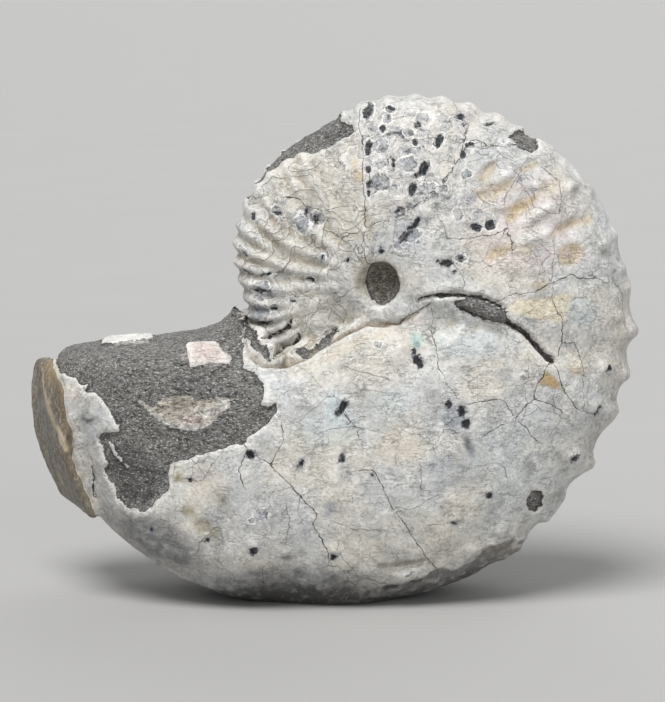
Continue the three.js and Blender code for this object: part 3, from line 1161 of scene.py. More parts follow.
@dataclass
class StainsAndPaintedLight:
    """Soft stains in and on the shell, with painted shade, shadows and highlights among them."""

    front: tuple[StainOrPaintedLight, ...] = (
        (Oval(300, 225, 80, 95), Tint.TAN, 0.12), (Oval(405, 165, 48, 62), Tint.WHITE, 0.3),
        (Oval(520, 225, 62, 60), Tint.PINK, 0.4),
        (Patch(((476, 180), (480, 173), (485, 165), (491, 161), (497, 163), (496, 170), (491, 175),
         (490, 180), (485, 185)), 3.0), Tint.TAN, 0.85),
        (Patch(((474, 192), (480, 188), (490, 185), (500, 183), (510, 180), (513, 180), (512, 187),
         (503, 193), (496, 199), (490, 203), (481, 201), (476, 197)), 3.0), Tint.TAN, 0.85),
        # Painted shade: these two umber streaks darken the upper-left edges of the tan hollows.
        (Streak(((484, 168, 1.5), (490, 164, 2), (496, 162, 1.2))), Tint.UMBER, 0.45),
        (Streak(((478, 193, 1.5), (488, 188, 1.5))), Tint.UMBER, 0.3),
        # Painted shade: the slate oval at (573, 191) and the taupe oval at (600, 251) darken the undersides
        # of the knobs.
        (Oval(546, 190, 20, 7, -38), Tint.TAN, 0.5), (Oval(573, 191, 6, 3, 30), Tint.SLATE, 0.4),
        (Oval(600, 251, 6, 3), Tint.TAUPE, 0.4),
        (Patch(((518, 173), (522, 168), (530, 163), (538, 162), (537, 166), (530, 170), (523, 173)), 2.5),
         Tint.TAN, 0.9),
        (Patch(((506, 220), (505, 210), (510, 205), (520, 201), (528, 198), (537, 196), (536, 201),
         (530, 207), (523, 212), (517, 217), (510, 222)), 4.0), Tint.OCHRE, 0.7),
        (Streak(((507, 220, 1.5), (516, 214, 2), (525, 208, 1.5))), Tint.GOLD, 0.3),
        (Patch(((545, 237), (550, 230), (559, 225), (569, 221), (579, 219), (589, 216), (592, 220),
         (586, 224), (576, 225), (566, 229), (557, 234), (550, 239)), 4.0), Tint.OCHRE, 0.65),
        (Patch(((486, 260), (490, 252), (496, 246), (505, 244), (513, 245), (516, 247), (512, 252),
         (505, 255), (496, 258), (490, 262)), 4.0), Tint.OCHRE, 0.65),
        (Patch(((557, 257), (559, 249), (566, 245), (574, 243), (583, 247), (584, 254), (581, 260),
         (572, 264), (564, 263)), 3.5), Tint.OCHRE, 0.55),
        # Painted shade: this umber streak darkens the upper-left edge of the hollow.
        (Streak(((547, 236, 2), (552, 231, 2.2), (559, 227, 1.6))), Tint.UMBER, 0.35),
        (Oval(568, 254, 6, 5), Tint.PINK, 0.7), (Oval(566, 263, 10, 4, -10), Tint.TAN, 0.7),
        (Streak(((560, 262, 1.5), (566, 264, 2), (573, 262, 1.5))), Tint.UMBER, 0.4),
        (Oval(484, 307, 15, 4.5, 22), Tint.SLATE, 0.78),
        (Streak(((459, 301, 2), (462, 306, 2.5), (464, 311, 1.5))), Tint.SOOT_AND_SHADOW, 0.95),
        # The three white ovals on these two lines whiten the ridge crests between the hollows: partly pale
        # worn shell and partly painted highlight.
        (Oval(527, 250, 9, 6, -20), Tint.TAN, 0.7), (Oval(535, 238, 30, 10, -20), Tint.WHITE, 0.5),
        (Oval(540, 213, 22, 5, -30), Tint.WHITE, 0.5), (Oval(505, 175, 15, 5, -40), Tint.WHITE, 0.5),
        (Oval(540, 286, 9, 6, -20), Tint.TAN, 0.7), (Oval(357, 171, 6, 16, -8), Tint.OCHRE, 0.6),
        (Patch(((507, 307), (517, 301), (540, 298), (557, 295), (572, 293), (569, 312), (564, 323),
         (547, 321), (523, 316), (508, 312)), 2.5), Tint.YELLOW, 0.62),
        (Patch(((520, 319), (548, 325), (566, 328), (590, 326), (604, 340), (590, 352), (560, 348),
         (536, 334)), 4.0), Tint.BLUE_GREY, 0.3),
        (Oval(580, 312, 20, 18), Tint.SKY, 0.4), (Oval(577, 368, 9, 8), Tint.OCHRE, 0.6),
        (Oval(416, 342, 7, 9), Tint.TEAL, 0.42), (Oval(417, 344, 3.4, 4.5), Tint.PINE, 0.7),
        (Oval(334, 404, 12, 14), Tint.SKY, 0.55), (Oval(345, 438, 16, 12), Tint.YELLOW, 0.25),
        (Oval(330, 430, 34, 20), Tint.SKY, 0.35), (Oval(390, 405, 24, 20), Tint.SKY, 0.3),
        (Oval(398, 450, 28, 18), Tint.PEACH, 0.5), (Oval(452, 418, 14, 16), Tint.BLUE_GREY, 0.55),
        (Oval(469, 447, 5, 13, -8), Tint.INK, 0.65), (Oval(455, 470, 30, 24), Tint.BLUE_GREY, 0.3),
        (Oval(500, 470, 40, 40), Tint.SKY, 0.18), (Oval(466, 345, 38, 18), Tint.SKY, 0.3),
        (Oval(416, 320, 10, 6, -25), Tint.PINK, 0.5), (Oval(528, 466, 7, 7), Tint.SLATE, 0.55),
        (Oval(330, 510, 9, 8), Tint.BLUE_GREY, 0.6), (Oval(203, 485, 26, 22), Tint.PEACH, 0.3),
        (Oval(174, 466, 6, 5), Tint.MOSS, 0.6), (Oval(178, 479, 8, 6), Tint.MOSS, 0.6),
        (Oval(222, 500, 7, 10), Tint.MOSS, 0.5), (Oval(188, 511, 9, 7), Tint.MOSS, 0.6),
        (Oval(201, 524, 12, 9), Tint.MOSS, 0.65), (Oval(212, 533, 9, 7), Tint.MOSS, 0.6),
        (Oval(201, 521, 3.4, 2.6), Tint.UMBER, 0.7), (Oval(183, 507, 3, 2.2), Tint.UMBER, 0.6),
        (Oval(224, 500, 2.6, 4), Tint.UMBER, 0.6), (Oval(178, 478, 3, 2), Tint.UMBER, 0.6),
        (Oval(206, 531, 3.4, 2.4), Tint.UMBER, 0.6), (Oval(250, 520, 60, 40), Tint.BLUE_GREY, 0.3),
        # Painted shade: the slate and soot ovals from here to the one at (440, 598) darken the bottom, where
        # the underside turns from the light, over the shell's own darker grey lower band.
        (Oval(160, 540, 62, 24, 30), Tint.SLATE, 0.85), (Oval(290, 586, 110, 22), Tint.SLATE, 0.75),
        (Oval(430, 590, 90, 20, -24), Tint.SLATE, 0.75), (Oval(300, 602, 140, 20), Tint.SOOT_AND_SHADOW, 0.9),
        (Oval(440, 598, 80, 16, -24), Tint.SOOT_AND_SHADOW, 0.6), (Oval(100, 480, 40, 60), Tint.SLATE, 0.38),
        (Oval(89, 417, 8, 6), Tint.SOOT_AND_SHADOW, 0.6), (Oval(93, 480, 4, 16), Tint.SOOT_AND_SHADOW, 0.5),
        (Oval(286, 557, 6, 5), Tint.SLATE, 0.6),
        (Patch(((137, 401), (141, 400), (148, 406), (153, 407), (156, 400), (174, 395), (191, 394),
         (196, 400), (206, 399), (214, 396), (226, 395), (232, 401), (231, 407), (221, 413), (215, 418),
         (211, 425), (199, 429), (191, 431), (177, 427), (163, 422), (154, 416), (144, 410), (138, 405)),
         1.8), Tint.PEARL, 0.94),
        (Oval(176, 406, 17, 9), Tint.OLIVE, 0.5), (Oval(223, 403, 11, 8), Tint.MILK, 0.85),
        (Oval(190, 421, 15, 8), Tint.PINK, 0.7), (Oval(206, 414, 8, 6, -30), Tint.MILK, 0.8),
        (Patch(((105, 452), (125, 440), (168, 468), (166, 489), (150, 504), (140, 510), (127, 506),
         (117, 496), (111, 482), (106, 468)), 5.0), Tint.SOOT_AND_SHADOW, 0.74),
        # Painted shadow in the notch along the shell's broken edge.
        (Oval(104, 438, 8, 5, -25), Tint.SOOT_AND_SHADOW, 0.95),
        (Streak(((137, 430, 1), (145, 426, 2.2), (153, 422, 1.2))), Tint.SOOT_AND_SHADOW, 0.95),
        (Streak(((137, 401, 1.2), (147, 411, 1.4), (158, 420, 1.6), (175, 428, 2.2), (192, 430, 2),
         (204, 426, 1.4), (216, 419, 1.2))), Tint.WHITE, 0.95),
        (Oval(197, 410, 4, 3), Tint.WHITE, 0.9), (Oval(193, 403, 3.4, 2.4), Tint.UMBER, 0.7),
        (Patch(((545, 369), (538, 383), (559, 391), (562, 386)), 1.0), Tint.FAWN, 1.0),
        # Painted shade: the slate oval darkens the plate's left side, where it rounds away.
        (Oval(43, 425, 10, 50, -12), Tint.SLATE, 0.6), (Oval(50, 375, 6, 14, -12), Tint.FAWN, 0.45),
        (Streak(((40, 370, 1), (44, 390, 1.6), (50, 412, 1.8), (56, 428, 1.6))), Tint.BONE, 0.6),
        # Painted shadow line along the plate's raised right edge.
        (Streak(((54, 378, 2), (60, 402, 3), (64, 424, 2.4), (68, 470, 2), (78, 492, 1.6))), Tint.UMBER,
         0.5),
        (Streak(((58, 427, 1.4), (62, 438, 3), (66, 450, 2.4))), Tint.BONE, 0.95),
        (Oval(69, 438, 2.6, 8, -8), Tint.SOOT_AND_SHADOW, 0.85), (Oval(40, 395, 3, 8, 10), Tint.UMBER, 0.5),
        (Oval(52, 470, 3, 12, -18), Tint.UMBER, 0.4), (Oval(60, 480, 3, 9, -24), Tint.BONE, 0.35),
        (Oval(80, 510, 6, 4, 40), Tint.BONE, 0.4),
        # The white streak along the seam's lip is partly the shell's pale edge and partly painted highlight
        # on the lip's crest.
        (Streak(((240, 306, 0.8), (241, 335, 1.4), (248, 359, 1.6), (262, 369, 1.4), (282, 370, 1.2))),
         Tint.WHITE, 0.8),
        (Oval(205, 352, 40, 20), Tint.PINK, 0.7), (Oval(126, 335, 34, 8), Tint.WHITE, 0.95),
        # Painted shade: the taupe streak darkens the flake's upper edge, and the soot streak below the white
        # flake is a painted shadow beneath it.
        (Streak(((380, 566, 3), (400, 563, 3), (424, 560, 2))), Tint.TAUPE, 0.6),
        (Oval(407, 573, 20, 6, -10), Tint.WHITE, 0.9),
        (Streak(((384, 587, 1.6), (402, 584, 2.4), (419, 579, 1.8), (430, 571, 0.8))), Tint.SOOT_AND_SHADOW, 0.9),
        (Oval(264, 291, 12, 8), Tint.BLUE_GREY, 0.6), (Oval(262, 312, 12, 8), Tint.BLUE_GREY, 0.6),
        (Oval(304, 222, 14, 13), Tint.BLUE_GREY, 0.7), (Oval(381, 145, 12, 12), Tint.BLUE_GREY, 0.45),
        (Oval(380, 182, 11, 12), Tint.BLUE_GREY, 0.35), (Oval(408, 168, 12, 12), Tint.BLUE_GREY, 0.4),
        (Oval(411, 236, 10, 18, 30), Tint.BLUE_GREY, 0.55), (Oval(472, 200, 6, 6), Tint.BLUE_GREY, 0.6),
        (Oval(430, 190, 22, 10, -35), Tint.BLUE_GREY, 0.4), (Oval(380, 232, 14, 24), Tint.SLATE, 0.2),
        # The tan oval set to the upper left of the umbilicus is painted shade on its funnel wall over a faint
        # tan of the shell. The bark oval is the rock in the umbilicus.
        (Oval(376, 277, 26, 26), Tint.TAN, 0.5), (Oval(381, 283, 17, 22), Tint.BARK, 0.74),
        (Oval(340, 352, 60, 7, -25), Tint.TAN, 0.35),
        (Patch(((316, 149), (336, 139), (350, 130), (351, 123), (339, 117), (322, 126)), 5.0), Tint.SOOT_AND_SHADOW,
         0.72),
        (Oval(90, 408, 24, 20), Tint.SLATE, 0.15),
        (Streak(((250, 344, 3), (260, 357, 5), (276, 361, 6), (300, 354, 6), (322, 343, 5), (345, 331, 3))),
         Tint.OLIVE, 0.5),
        (Oval(316, 321, 26, 9, -22), Tint.WHITE, 0.4), (Oval(283, 358, 10, 5), Tint.MOSS, 0.45),
        (Oval(312, 349, 10, 4, -25), Tint.MOSS, 0.4),
    )
    back: tuple[StainOrPaintedLight, ...] = (
        (Oval(300, 225, 80, 95), Tint.TAN, 0.3), (Oval(500, 200, 50, 40), Tint.TAN, 0.4),
        (Oval(540, 250, 20, 9, -25), Tint.OCHRE, 0.6), (Oval(510, 215, 20, 8, -30), Tint.OCHRE, 0.55),
        (Oval(420, 400, 60, 40), Tint.SKY, 0.35), (Oval(450, 440, 14, 16), Tint.BLUE_GREY, 0.6),
        (Oval(330, 440, 50, 30), Tint.PINK, 0.4), (Oval(250, 520, 70, 40), Tint.BLUE_GREY, 0.35),
        (Oval(200, 500, 30, 26), Tint.GOLD, 0.35), (Oval(300, 592, 120, 24), Tint.SLATE, 0.6),
        (Oval(410, 190, 40, 60), Tint.WHITE, 0.4), (Oval(380, 150, 14, 14), Tint.BLUE_GREY, 0.5),
        (Oval(440, 192, 14, 14), Tint.BLUE_GREY, 0.5), (Oval(381, 285, 26, 26), Tint.UMBER, 0.6),
    )
    break_strength: float = 0.85

    def colours(self, surface: Surface) -> Array:
        """Lay the stains, painted shade and painted highlights over each other.

        Args:
            surface: The surface to stain.

        Returns:
            Colour and strength of the stains and painted light at each place.
        """
        # The seam's groove is darkened with umber: partly the brown rock in it and partly painted shade in
        # the crease.
        groove, _ = Seam().sides(surface)
        shares = [(Tint.TAUPE, self.break_strength * BaseBreak().cover(surface)),
                  (Tint.UMBER, self.break_strength * groove)]
        for stains, ragged, shown in ((self.front, surface.ragged, 1.0 - surface.behind),
                                      (self.back, surface.ragged_back, surface.behind)):
            for shape, tint, amount in stains:
                shares.append((tint, amount * shown * shape.fill(*ragged(shape.raggedness()))))
        colour = np.zeros((len(surface.x), 3))
        strength = np.zeros(len(surface.x))
        for tint, share in shares:
            total = share + strength * (1.0 - share)
            weight = np.divide(share, total, out=np.zeros_like(share), where=total > 0.0)
            colour = mix(colour, np.array(tint.value), weight[:, None])
            strength = total
        return np.concatenate([colour, strength[:, None]], axis=1)


@dataclass
class Florets:
    """Frilled cells of the chamber walls, ringed in white where the shell is worn through."""

    front: tuple[Oval, ...] = (
        Oval(381, 146, 9, 8), Oval(407, 165, 12, 9), Oval(380, 183, 11, 11), Oval(425, 189, 14, 7, -15),
        Oval(434, 197, 5.5, 4.5), Oval(443, 189, 5, 4.5), Oval(413, 236, 11, 7, -30), Oval(400, 246, 6, 6),
        Oval(302, 223, 8.5, 11), Oval(319, 217, 6.5, 8.5), Oval(279, 211, 7, 5, 35), Oval(476, 228, 6.4, 6),
        Oval(490, 225, 7.2, 7), Oval(481, 216, 12, 5), Oval(467, 174, 8, 5, -20), Oval(458, 214, 6, 7),
        Oval(461, 258, 7, 5), Oval(383, 129, 4.5, 5.5), Oval(369, 112, 5, 10, 15), Oval(390, 110, 6, 4.5),
        Oval(423, 120, 9, 8), Oval(409, 133, 6, 5), Oval(388, 120, 6, 5), Oval(373, 128, 6, 7),
        Oval(369, 170, 4.5, 5.5), Oval(382, 163, 8, 6), Oval(260, 287, 11, 6), Oval(260, 311, 11, 9),
        Oval(274, 307, 5, 4), Oval(310, 280, 5.5, 3.5, 25), Oval(323, 257, 4, 4.5),
        Oval(292, 297, 4, 9, -25), Oval(470, 146, 5, 4), Oval(247, 253, 4, 5), Oval(416, 143, 5, 4.5),
        Oval(439, 141, 6, 8, 25), Oval(369, 147, 5, 10), Oval(370, 189, 4, 11), Oval(414, 189, 6, 9, 18),
        Oval(425, 168, 6, 9, 30), Oval(261, 514, 8, 7), Oval(252, 521, 5, 4), Oval(378, 344, 5, 4),
    )
    back: tuple[Oval, ...] = (
        Oval(380, 150, 9, 9), Oval(408, 168, 12, 9), Oval(440, 192, 12, 8, -20), Oval(415, 215, 6, 10, 30),
        Oval(320, 200, 10, 8), Oval(470, 240, 8, 7), Oval(395, 130, 8, 7), Oval(430, 150, 7, 9, 25),
    )
    stray: float = 1.2
    back_stray: float = 2.0
    widest: float = 3.0

    def spread(self, surface: Surface) -> Array:
        """Return 0 in the middle of a cell, 1 on its edge and more outside it."""
        front = np.min([cell.spread(*surface.ragged(self.stray)) for cell in self.front], axis=0)
        back = np.min([cell.spread(*surface.ragged_back(self.back_stray)) for cell in self.back], axis=0)
        return surface.both(front, back, self.widest)


@dataclass
class SutureZone:
    """Where the frilled chamber walls show through the worn shell of the coil."""

    front: tuple[tuple[Oval, float], ...] = (
        (Oval(395, 150, 42, 50, 10), 1.0), (Oval(440, 140, 34, 34), 0.8),
        (Oval(425, 200, 40, 30, -30), 0.7), (Oval(304, 220, 18, 16), 0.9), (Oval(262, 300, 20, 22), 0.6),
        (Oval(470, 200, 26, 22), 0.6), (Oval(480, 226, 18, 12), 0.7), (Oval(410, 235, 16, 24, 30), 0.8),
        (Oval(285, 205, 16, 12), 0.5), (Oval(458, 260, 18, 8), 0.6), (Oval(380, 245, 12, 16), 0.4),
        (Oval(320, 255, 20, 12, 35), 0.4),
    )
    back: tuple[tuple[Oval, float], ...] = (
        (Oval(400, 160, 50, 50), 0.9), (Oval(440, 215, 40, 30, -30), 0.7), (Oval(320, 200, 30, 24), 0.6),
    )
    stray: float = 4.0
    border: Fade = (0.6, 1.2)

    def strength(self, zones: tuple[tuple[Oval, float], ...], x: Array, y: Array) -> Array:
        """Return how strongly the frills of some zones show."""
        faded = [amount * (1.0 - ease(oval.spread(x, y), *self.border)) for oval, amount in zones]
        return np.max(faded, axis=0)

    def cover(self, surface: Surface) -> Array:
        """Return how strongly the frills show at each place."""
        front = self.strength(self.front, *surface.ragged(self.stray))
        return mix(front, self.strength(self.back, *surface.ragged_back(self.stray)), surface.behind)


@dataclass
class PlateFace:
    """The weathered brown face of the broken end."""

    outline: Outline = (
        (44, 348), (47, 357), (53, 369), (59, 383), (63, 399), (66, 419), (72, 433), (72, 452), (71, 459),
        (77, 472), (87, 494), (93, 511), (102, 530), (70, 550), (-20, 540), (-20, 330), (36, 338),
    )
    stray: float = 1.5
    most_depth: float = 12.0
    groove: float = 0.6
    groove_shift: float = 0.3
    groove_width: float = 0.5

    def depth(self, surface: Surface) -> Array:
        """Return how far places lie inside the plate's face, in millimetres."""
        depth = outline_depth(*surface.ragged(self.stray), self.outline)
        return surface.millimetres(np.clip(depth, -self.most_depth, self.most_depth))

    def height(self, depth: Array) -> Array:
        """Return the groove along the plate's border, in millimetres."""
        return -self.groove * bell(depth + self.groove_shift, self.groove_width)


@dataclass
class Undulation:
    """The gentle unevenness of the worn shell."""

    broad: float = 0.3
    broad_noise: Noise = Noise(13.0, 2, 5.1)
    fine: float = 0.1
    fine_noise: Noise = Noise(3.0, 3, 31.7)

    def height(self, surface: Surface) -> Array:
        """Return the unevenness in millimetres."""
        swell = self.broad * self.broad_noise.at(surface.places)
        return swell + self.fine * self.fine_noise.at(surface.places)


@dataclass(frozen=True)
class Grain:
    """A finish's noise, of about 0.5, with bumps of a size in millimetres."""

    size: float
    detail: float = 3.0
    roughness: float = 0.5
    distortion: float = 0.0
    stretch: tuple[float, float, float] | None = None


@dataclass(frozen=True)
class Mottle:
    """Spots of noise: the values between which they fade in, and how strongly they show."""

    grain: Grain
    span: Fade
    strength: float = 1.0


@dataclass(frozen=True)
class Net:
    """A net of fine cracks that comes and goes. Its cells, lines and waver are in millimetres."""

    size: float
    width: float
    waver: float
    seed: float
    strength: float
    core: float = 0.3
    swirl: float = 1.6
    swirl_detail: float = 4.0
    patch_size: float = 1.8
    shown: Fade = (0.5, 0.62)


class Value:
    """What a node puts out, with which arithmetic can be written."""

    def __init__(self, shader: "Shader", socket: bpy.types.NodeSocket) -> None:
        """Hold a node's socket and the material that it is in."""
        self.shader = shader
        self.socket = socket

    def __add__(self, other: "Feed") -> "Value":
        """Add a value."""
        return self.shader.math("ADD", self, other)

    def __sub__(self, other: "Feed") -> "Value":
        """Take a value away."""
        return self.shader.math("SUBTRACT", self, other)

    def __rsub__(self, other: float) -> "Value":
        """Take this value away from a plain number."""
        return self.shader.math("SUBTRACT", other, self)

    def __mul__(self, other: "Feed") -> "Value":
        """Multiply by a value."""
        return self.shader.math("MULTIPLY", self, other)

    def __abs__(self) -> "Value":
        """Drop the sign."""
        return self.shader.math("ABSOLUTE", self)


Feed = Value | float | tuple


class Shader:
    """Adds and joins the nodes of one material."""

    def __init__(self, name: str) -> None:
        """Start an empty node material.

        Args:
            name: The material's name.
        """
        self.material = bpy.data.materials.new(name)
        self.material.use_nodes = True
        self.tree = self.material.node_tree
        self.tree.nodes.clear()
        place = self.node("ShaderNodeTexCoord", output="Object")
        self.place = self.node("ShaderNodeVectorMath", {0: place, "Scale": 1.0 / MM}, operation="SCALE")

    def node(
        self, kind: str, feeds: dict[int | str, Feed] | None = None, output: int | str = 0,
        **settings: object,
    ) -> Value:
        """Add a node.

        Args:
            kind: Blender's name for the node's type.
            feeds: Another node's value or a plain one for each named or numbered input.
            output: Which of its outputs is wanted.
            **settings: The node's own properties.

        Returns:
            What the node puts out.
        """
        made = self.tree.nodes.new(kind)
        for key, value in settings.items():
            setattr(made, key, value)
        for key, value in (feeds or {}).items():
            socket = made.inputs[key]
            if isinstance(value, Value):
                self.tree.links.new(value.socket, socket)
            elif socket.type == "RGBA":
                socket.default_value = (*value, 1.0)
            else:
                socket.default_value = value
        return Value(self, made.outputs[output])

    def attribute(self, name: str, output: str = "Fac") -> Value:
        """Read one of the surface's own fields."""
        return self.node("ShaderNodeAttribute", output=output, attribute_name=name)

    def math(self, operation: str, first: Feed, second: Feed = 0.0, third: Feed = 0.0) -> Value:
        """Work out one value from up to three."""
        return self.node("ShaderNodeMath", {0: first, 1: second, 2: third}, operation=operation)

    def scale(self, value: Value, span: Fade) -> Value:
        """Run evenly from the span's start where a value is 0 to the span's end where it is 1."""
        return self.math("MULTIPLY_ADD", value, span[1] - span[0], span[0])

    def rise(self, value: Value, span: tuple[Feed, Feed]) -> Value:
        """Rise smoothly from 0 at the span's start to 1 at its end."""
        feeds = {"Value": value, "From Min": span[0], "From Max": span[1]}
        return self.node("ShaderNodeMapRange", feeds, interpolation_type="SMOOTHSTEP")

    def blend(self, share: Feed, first: Feed, second: Feed, way: str = "MIX") -> Value:
        """Blend two colours by a share."""
        feeds = {0: share, 6: first, 7: second}
        return self.node("ShaderNodeMix", feeds, output=2, data_type="RGBA", blend_type=way)

    def shaded(self, colour: Feed, shade: Value) -> Value:
        """Darken or brighten a colour."""
        return self.blend(1.0, colour, shade, "MULTIPLY")

    def grain(self, grain: Grain, place: Value | None = None) -> Value:
        """Make noise.

        Args:
            grain: Its size and character.
            place: Where it is read, the surface's own place by default.

        Returns:
            Values of about 0.5.
        """
        place = place or self.place
        if grain.stretch:
            place = self.node("ShaderNodeVectorMath", {0: place, 1: grain.stretch}, operation="MULTIPLY")
        return self.node("ShaderNodeTexNoise", {
            "Vector": place, "Scale": 1.0 / grain.size, "Detail": grain.detail,
            "Roughness": grain.roughness, "Distortion": grain.distortion,
        })

    def mottle(self, mottle: Mottle) -> Value:
        """Make spots of noise."""
        return self.rise(self.grain(mottle.grain), mottle.span) * mottle.strength

    def line(self, offset: Value, half_width: tuple[Feed, Feed]) -> Value:
        """Return 1 on a line, fading to 0 between two distances from it."""
        return 1.0 - self.rise(abs(offset), half_width)

    def crazing(self, net: Net) -> Value:
        """Draw a net of fine cracks.

        Args:
            net: Its sizes and strength.

        Returns:
            The net's strength on a line and 0 off it.
        """
        shifted = self.node("ShaderNodeVectorMath", {0: self.place, 1: (net.seed,) * 3})
        feeds = {"Vector": shifted, "Scale": net.swirl / net.size, "Detail": net.swirl_detail}
        swirl = self.node("ShaderNodeTexNoise", feeds, output=1)
        feeds = {0: swirl, 1: (net.waver,) * 3, 2: shifted}
        moved = self.node("ShaderNodeVectorMath", feeds, operation="MULTIPLY_ADD")
        feeds = {"Vector": moved, "Scale": 1.0 / net.size}
        edge = self.node("ShaderNodeTexVoronoi", feeds, feature="DISTANCE_TO_EDGE")
        width = net.width / net.size
        patches = self.grain(Grain(net.patch_size * net.size), shifted)
        return self.line(edge, (net.core * width, width)) * self.rise(patches, net.shown) * net.strength

    def finish(self, colour: Value, roughness: Feed, height: Value | None = None) -> bpy.types.Material:
        """Join the colour, roughness and relief to the surface.

        Args:
            colour: Base colour.
            roughness: Roughness.
            height: Relief in millimetres.

        Returns:
            The finished material.
        """
        feeds = {"Base Color": colour, "Roughness": roughness}
        if height is not None:
            bump = {"Height": height, "Strength": 1.0, "Distance": MM}
            feeds["Normal"] = self.node("ShaderNodeBump", bump)
        surface = self.node("ShaderNodeBsdfPrincipled", feeds)
        target = self.tree.nodes.new("ShaderNodeOutputMaterial")
        self.tree.links.new(surface.socket, target.inputs["Surface"])
        return self.material


@dataclass(frozen=True)
class ShellFinish:
    """Worn pearly shell, with its wrinkles, cracks, flaked layers and broken edge, and painted shade and
    highlights on its hollows, ridges and flake edges.
    """

    cream: Colour = srgb(212, 207, 197)
    cool: Colour = srgb(204, 206, 205)
    grey: Colour = srgb(172, 172, 169)
    white: Colour = srgb(236, 233, 227)
    # Painted shade in the hollows, partly the tan fill of the furrows.
    furrow: Colour = srgb(170, 156, 130)
    # Painted shadow below the edges of the flaked layers.
    edge: Colour = srgb(108, 95, 78)
    crack: Colour = srgb(62, 56, 50)
    fleck: Colour = srgb(104, 103, 103)
    roughness: float = 0.5
    grain: Grain = Grain(0.7, 6.0, 0.75)
    grain_shade: Fade = (0.45, 1.55)
    grain_height: float = 0.2
    wear: Grain = Grain(2.6, 5.0, 0.65)
    wear_height: float = 0.5
    clouds: Mottle = Mottle(Grain(15.0, 4.0), (0.38, 0.62))
    mottling: Mottle = Mottle(Grain(4.5, 5.0, 0.65), (0.44, 0.66), 0.7)
    chalk: Fade = (0.5, 0.64)
    chalk_strength: float = 0.55
    flecks: Mottle = Mottle(Grain(0.42, 3.0, 0.6), (0.58, 0.68), 0.4)
    stain_patches: Grain = Grain(1.8, 4.0, 0.65)
    stain_strength: Fade = (0.25, 1.85)
    # Painted shade in the hollows, partly their tan fill, and painted highlight on the ridges, both read from
    # the hollow depth.
    furrows: Fade = (0.02, 0.28)
    furrow_shade_strength: Fade = (0.6, 0.1)
    ridges: Fade = (-0.03, -0.25)
    ridge_highlight_strength: float = 0.4
    hairs: Grain = Grain(0.9, 4.0, 0.6, 0.5, (0.4, 1.0, 1.1))
    hair_level: float = 0.5
    hair_width: Fade = (0.004, 0.028)
    hair_patches: Mottle = Mottle(Grain(3.4, 4.0), (0.4, 0.6))
    hair_strength: float = 0.36
    hair_depth: float = 0.06
    wide_net: Net = Net(7.0, 0.08, 3.2, 3.0, 0.6)
    fine_net: Net = Net(2.2, 0.06, 1.1, 19.0, 0.4)
    net_depth: float = 0.07
    crack_jags: Grain = Grain(1.3, 5.0, 0.65)
    crack_stray: Fade = (-0.55, 0.55)
    crack_widening: Grain = Grain(3.0)
    crack_width: Fade = (-0.04, 0.22)
    crack_core: float = 0.3
    crack_strength: float = 0.94
    crack_depth: float = 0.18
    flake_jags: Grain = Grain(1.2, 5.0, 0.65)
    flake_stray: Fade = (-0.08, 0.08)
    flake_slope: float = 0.012
    flake_height: float = 0.16
    flake_shadow: float = 0.03
    flake_shadow_strength: float = 0.75
    flake_shine: Fade = (0.02, 0.07)
    flake_shine_strength: float = 0.6
    break_jags: Grain = Grain(1.1, 5.0, 0.65)
    break_stray: Fade = (-0.55, 0.55)
    break_rim: Fade = (-0.32, -0.08)
    break_rim_strength: float = 0.5


@dataclass(frozen=True)
class RockFinish:
    """Dark speckled rock under the shell."""

    dark: Colour = srgb(46, 45, 45)
    middle: Colour = srgb(138, 137, 134)
    pale: Colour = srgb(226, 223, 215)
    brown: Colour = srgb(108, 99, 90)
    roughness: float = 0.8
    grit: Grain = Grain(0.58, 6.0, 0.8, 0.0, (0.5, 1.0, 1.0))
    grit_span: Fade = (0.36, 0.62)
    grit_height: float = 0.6
    lumps: Grain = Grain(4.0, 4.0, 0.6)
    lump_shade: Fade = (0.4, 1.6)
    lump_height: float = 0.7
    specks: Grain = Grain(0.27, 3.0, 0.7, 0.4, (0.5, 1.0, 1.0))
    speck_span: Fade = (0.52, 0.68)
    speck_strength: Fade = (0.85, 0.45)
    speck_height: float = 0.12
    browning: Mottle = Mottle(Grain(9.0), (0.5, 0.68), 0.22)
    stain_span: Fade = (0.55, 0.85)
    stain_strength: Fade = (0.1, 1.3)
    stain_shade: Fade = (-1.75, 3.75)
    border: Fade = (-0.05, 0.05)
    shadow: Fade = (0.0, 0.5)
    shadow_strength: float = 0.55
    recess: float = 0.4


@dataclass(frozen=True)
class PlateFinish:
    """Weathered brown rock of the broken end."""

    dark: Colour = srgb(78, 68, 55)
    light: Colour = srgb(146, 132, 108)
    rim: Colour = srgb(162, 144, 112)
    grey: Colour = srgb(132, 127, 119)
    pale: Colour = srgb(196, 186, 164)
    streaks: Grain = Grain(1.4, 5.0, 0.7, 0.0, (1.0, 0.6, 0.38))
    streak_span: Fade = (0.36, 0.64)
    streak_height: float = 1.6
    greying: Mottle = Mottle(Grain(5.0, 4.0, 0.6), (0.46, 0.66))
    specks: Grain = Grain(0.85, 5.0, 0.72)
    pale_specks: Fade = (0.52, 0.64)
    dark_specks: Fade = (0.48, 0.37)
    speck_strength: float = 0.75
    rim_span: Fade = (0.1, 1.2)
    rim_strength: float = 0.6
    grit: Grain = Grain(0.7, 5.0, 0.75)
    grit_shade: Fade = (0.4, 1.6)
    grit_height: float = 0.3
    stain_strength: float = 0.8
    border: Fade = (-0.08, 0.08)


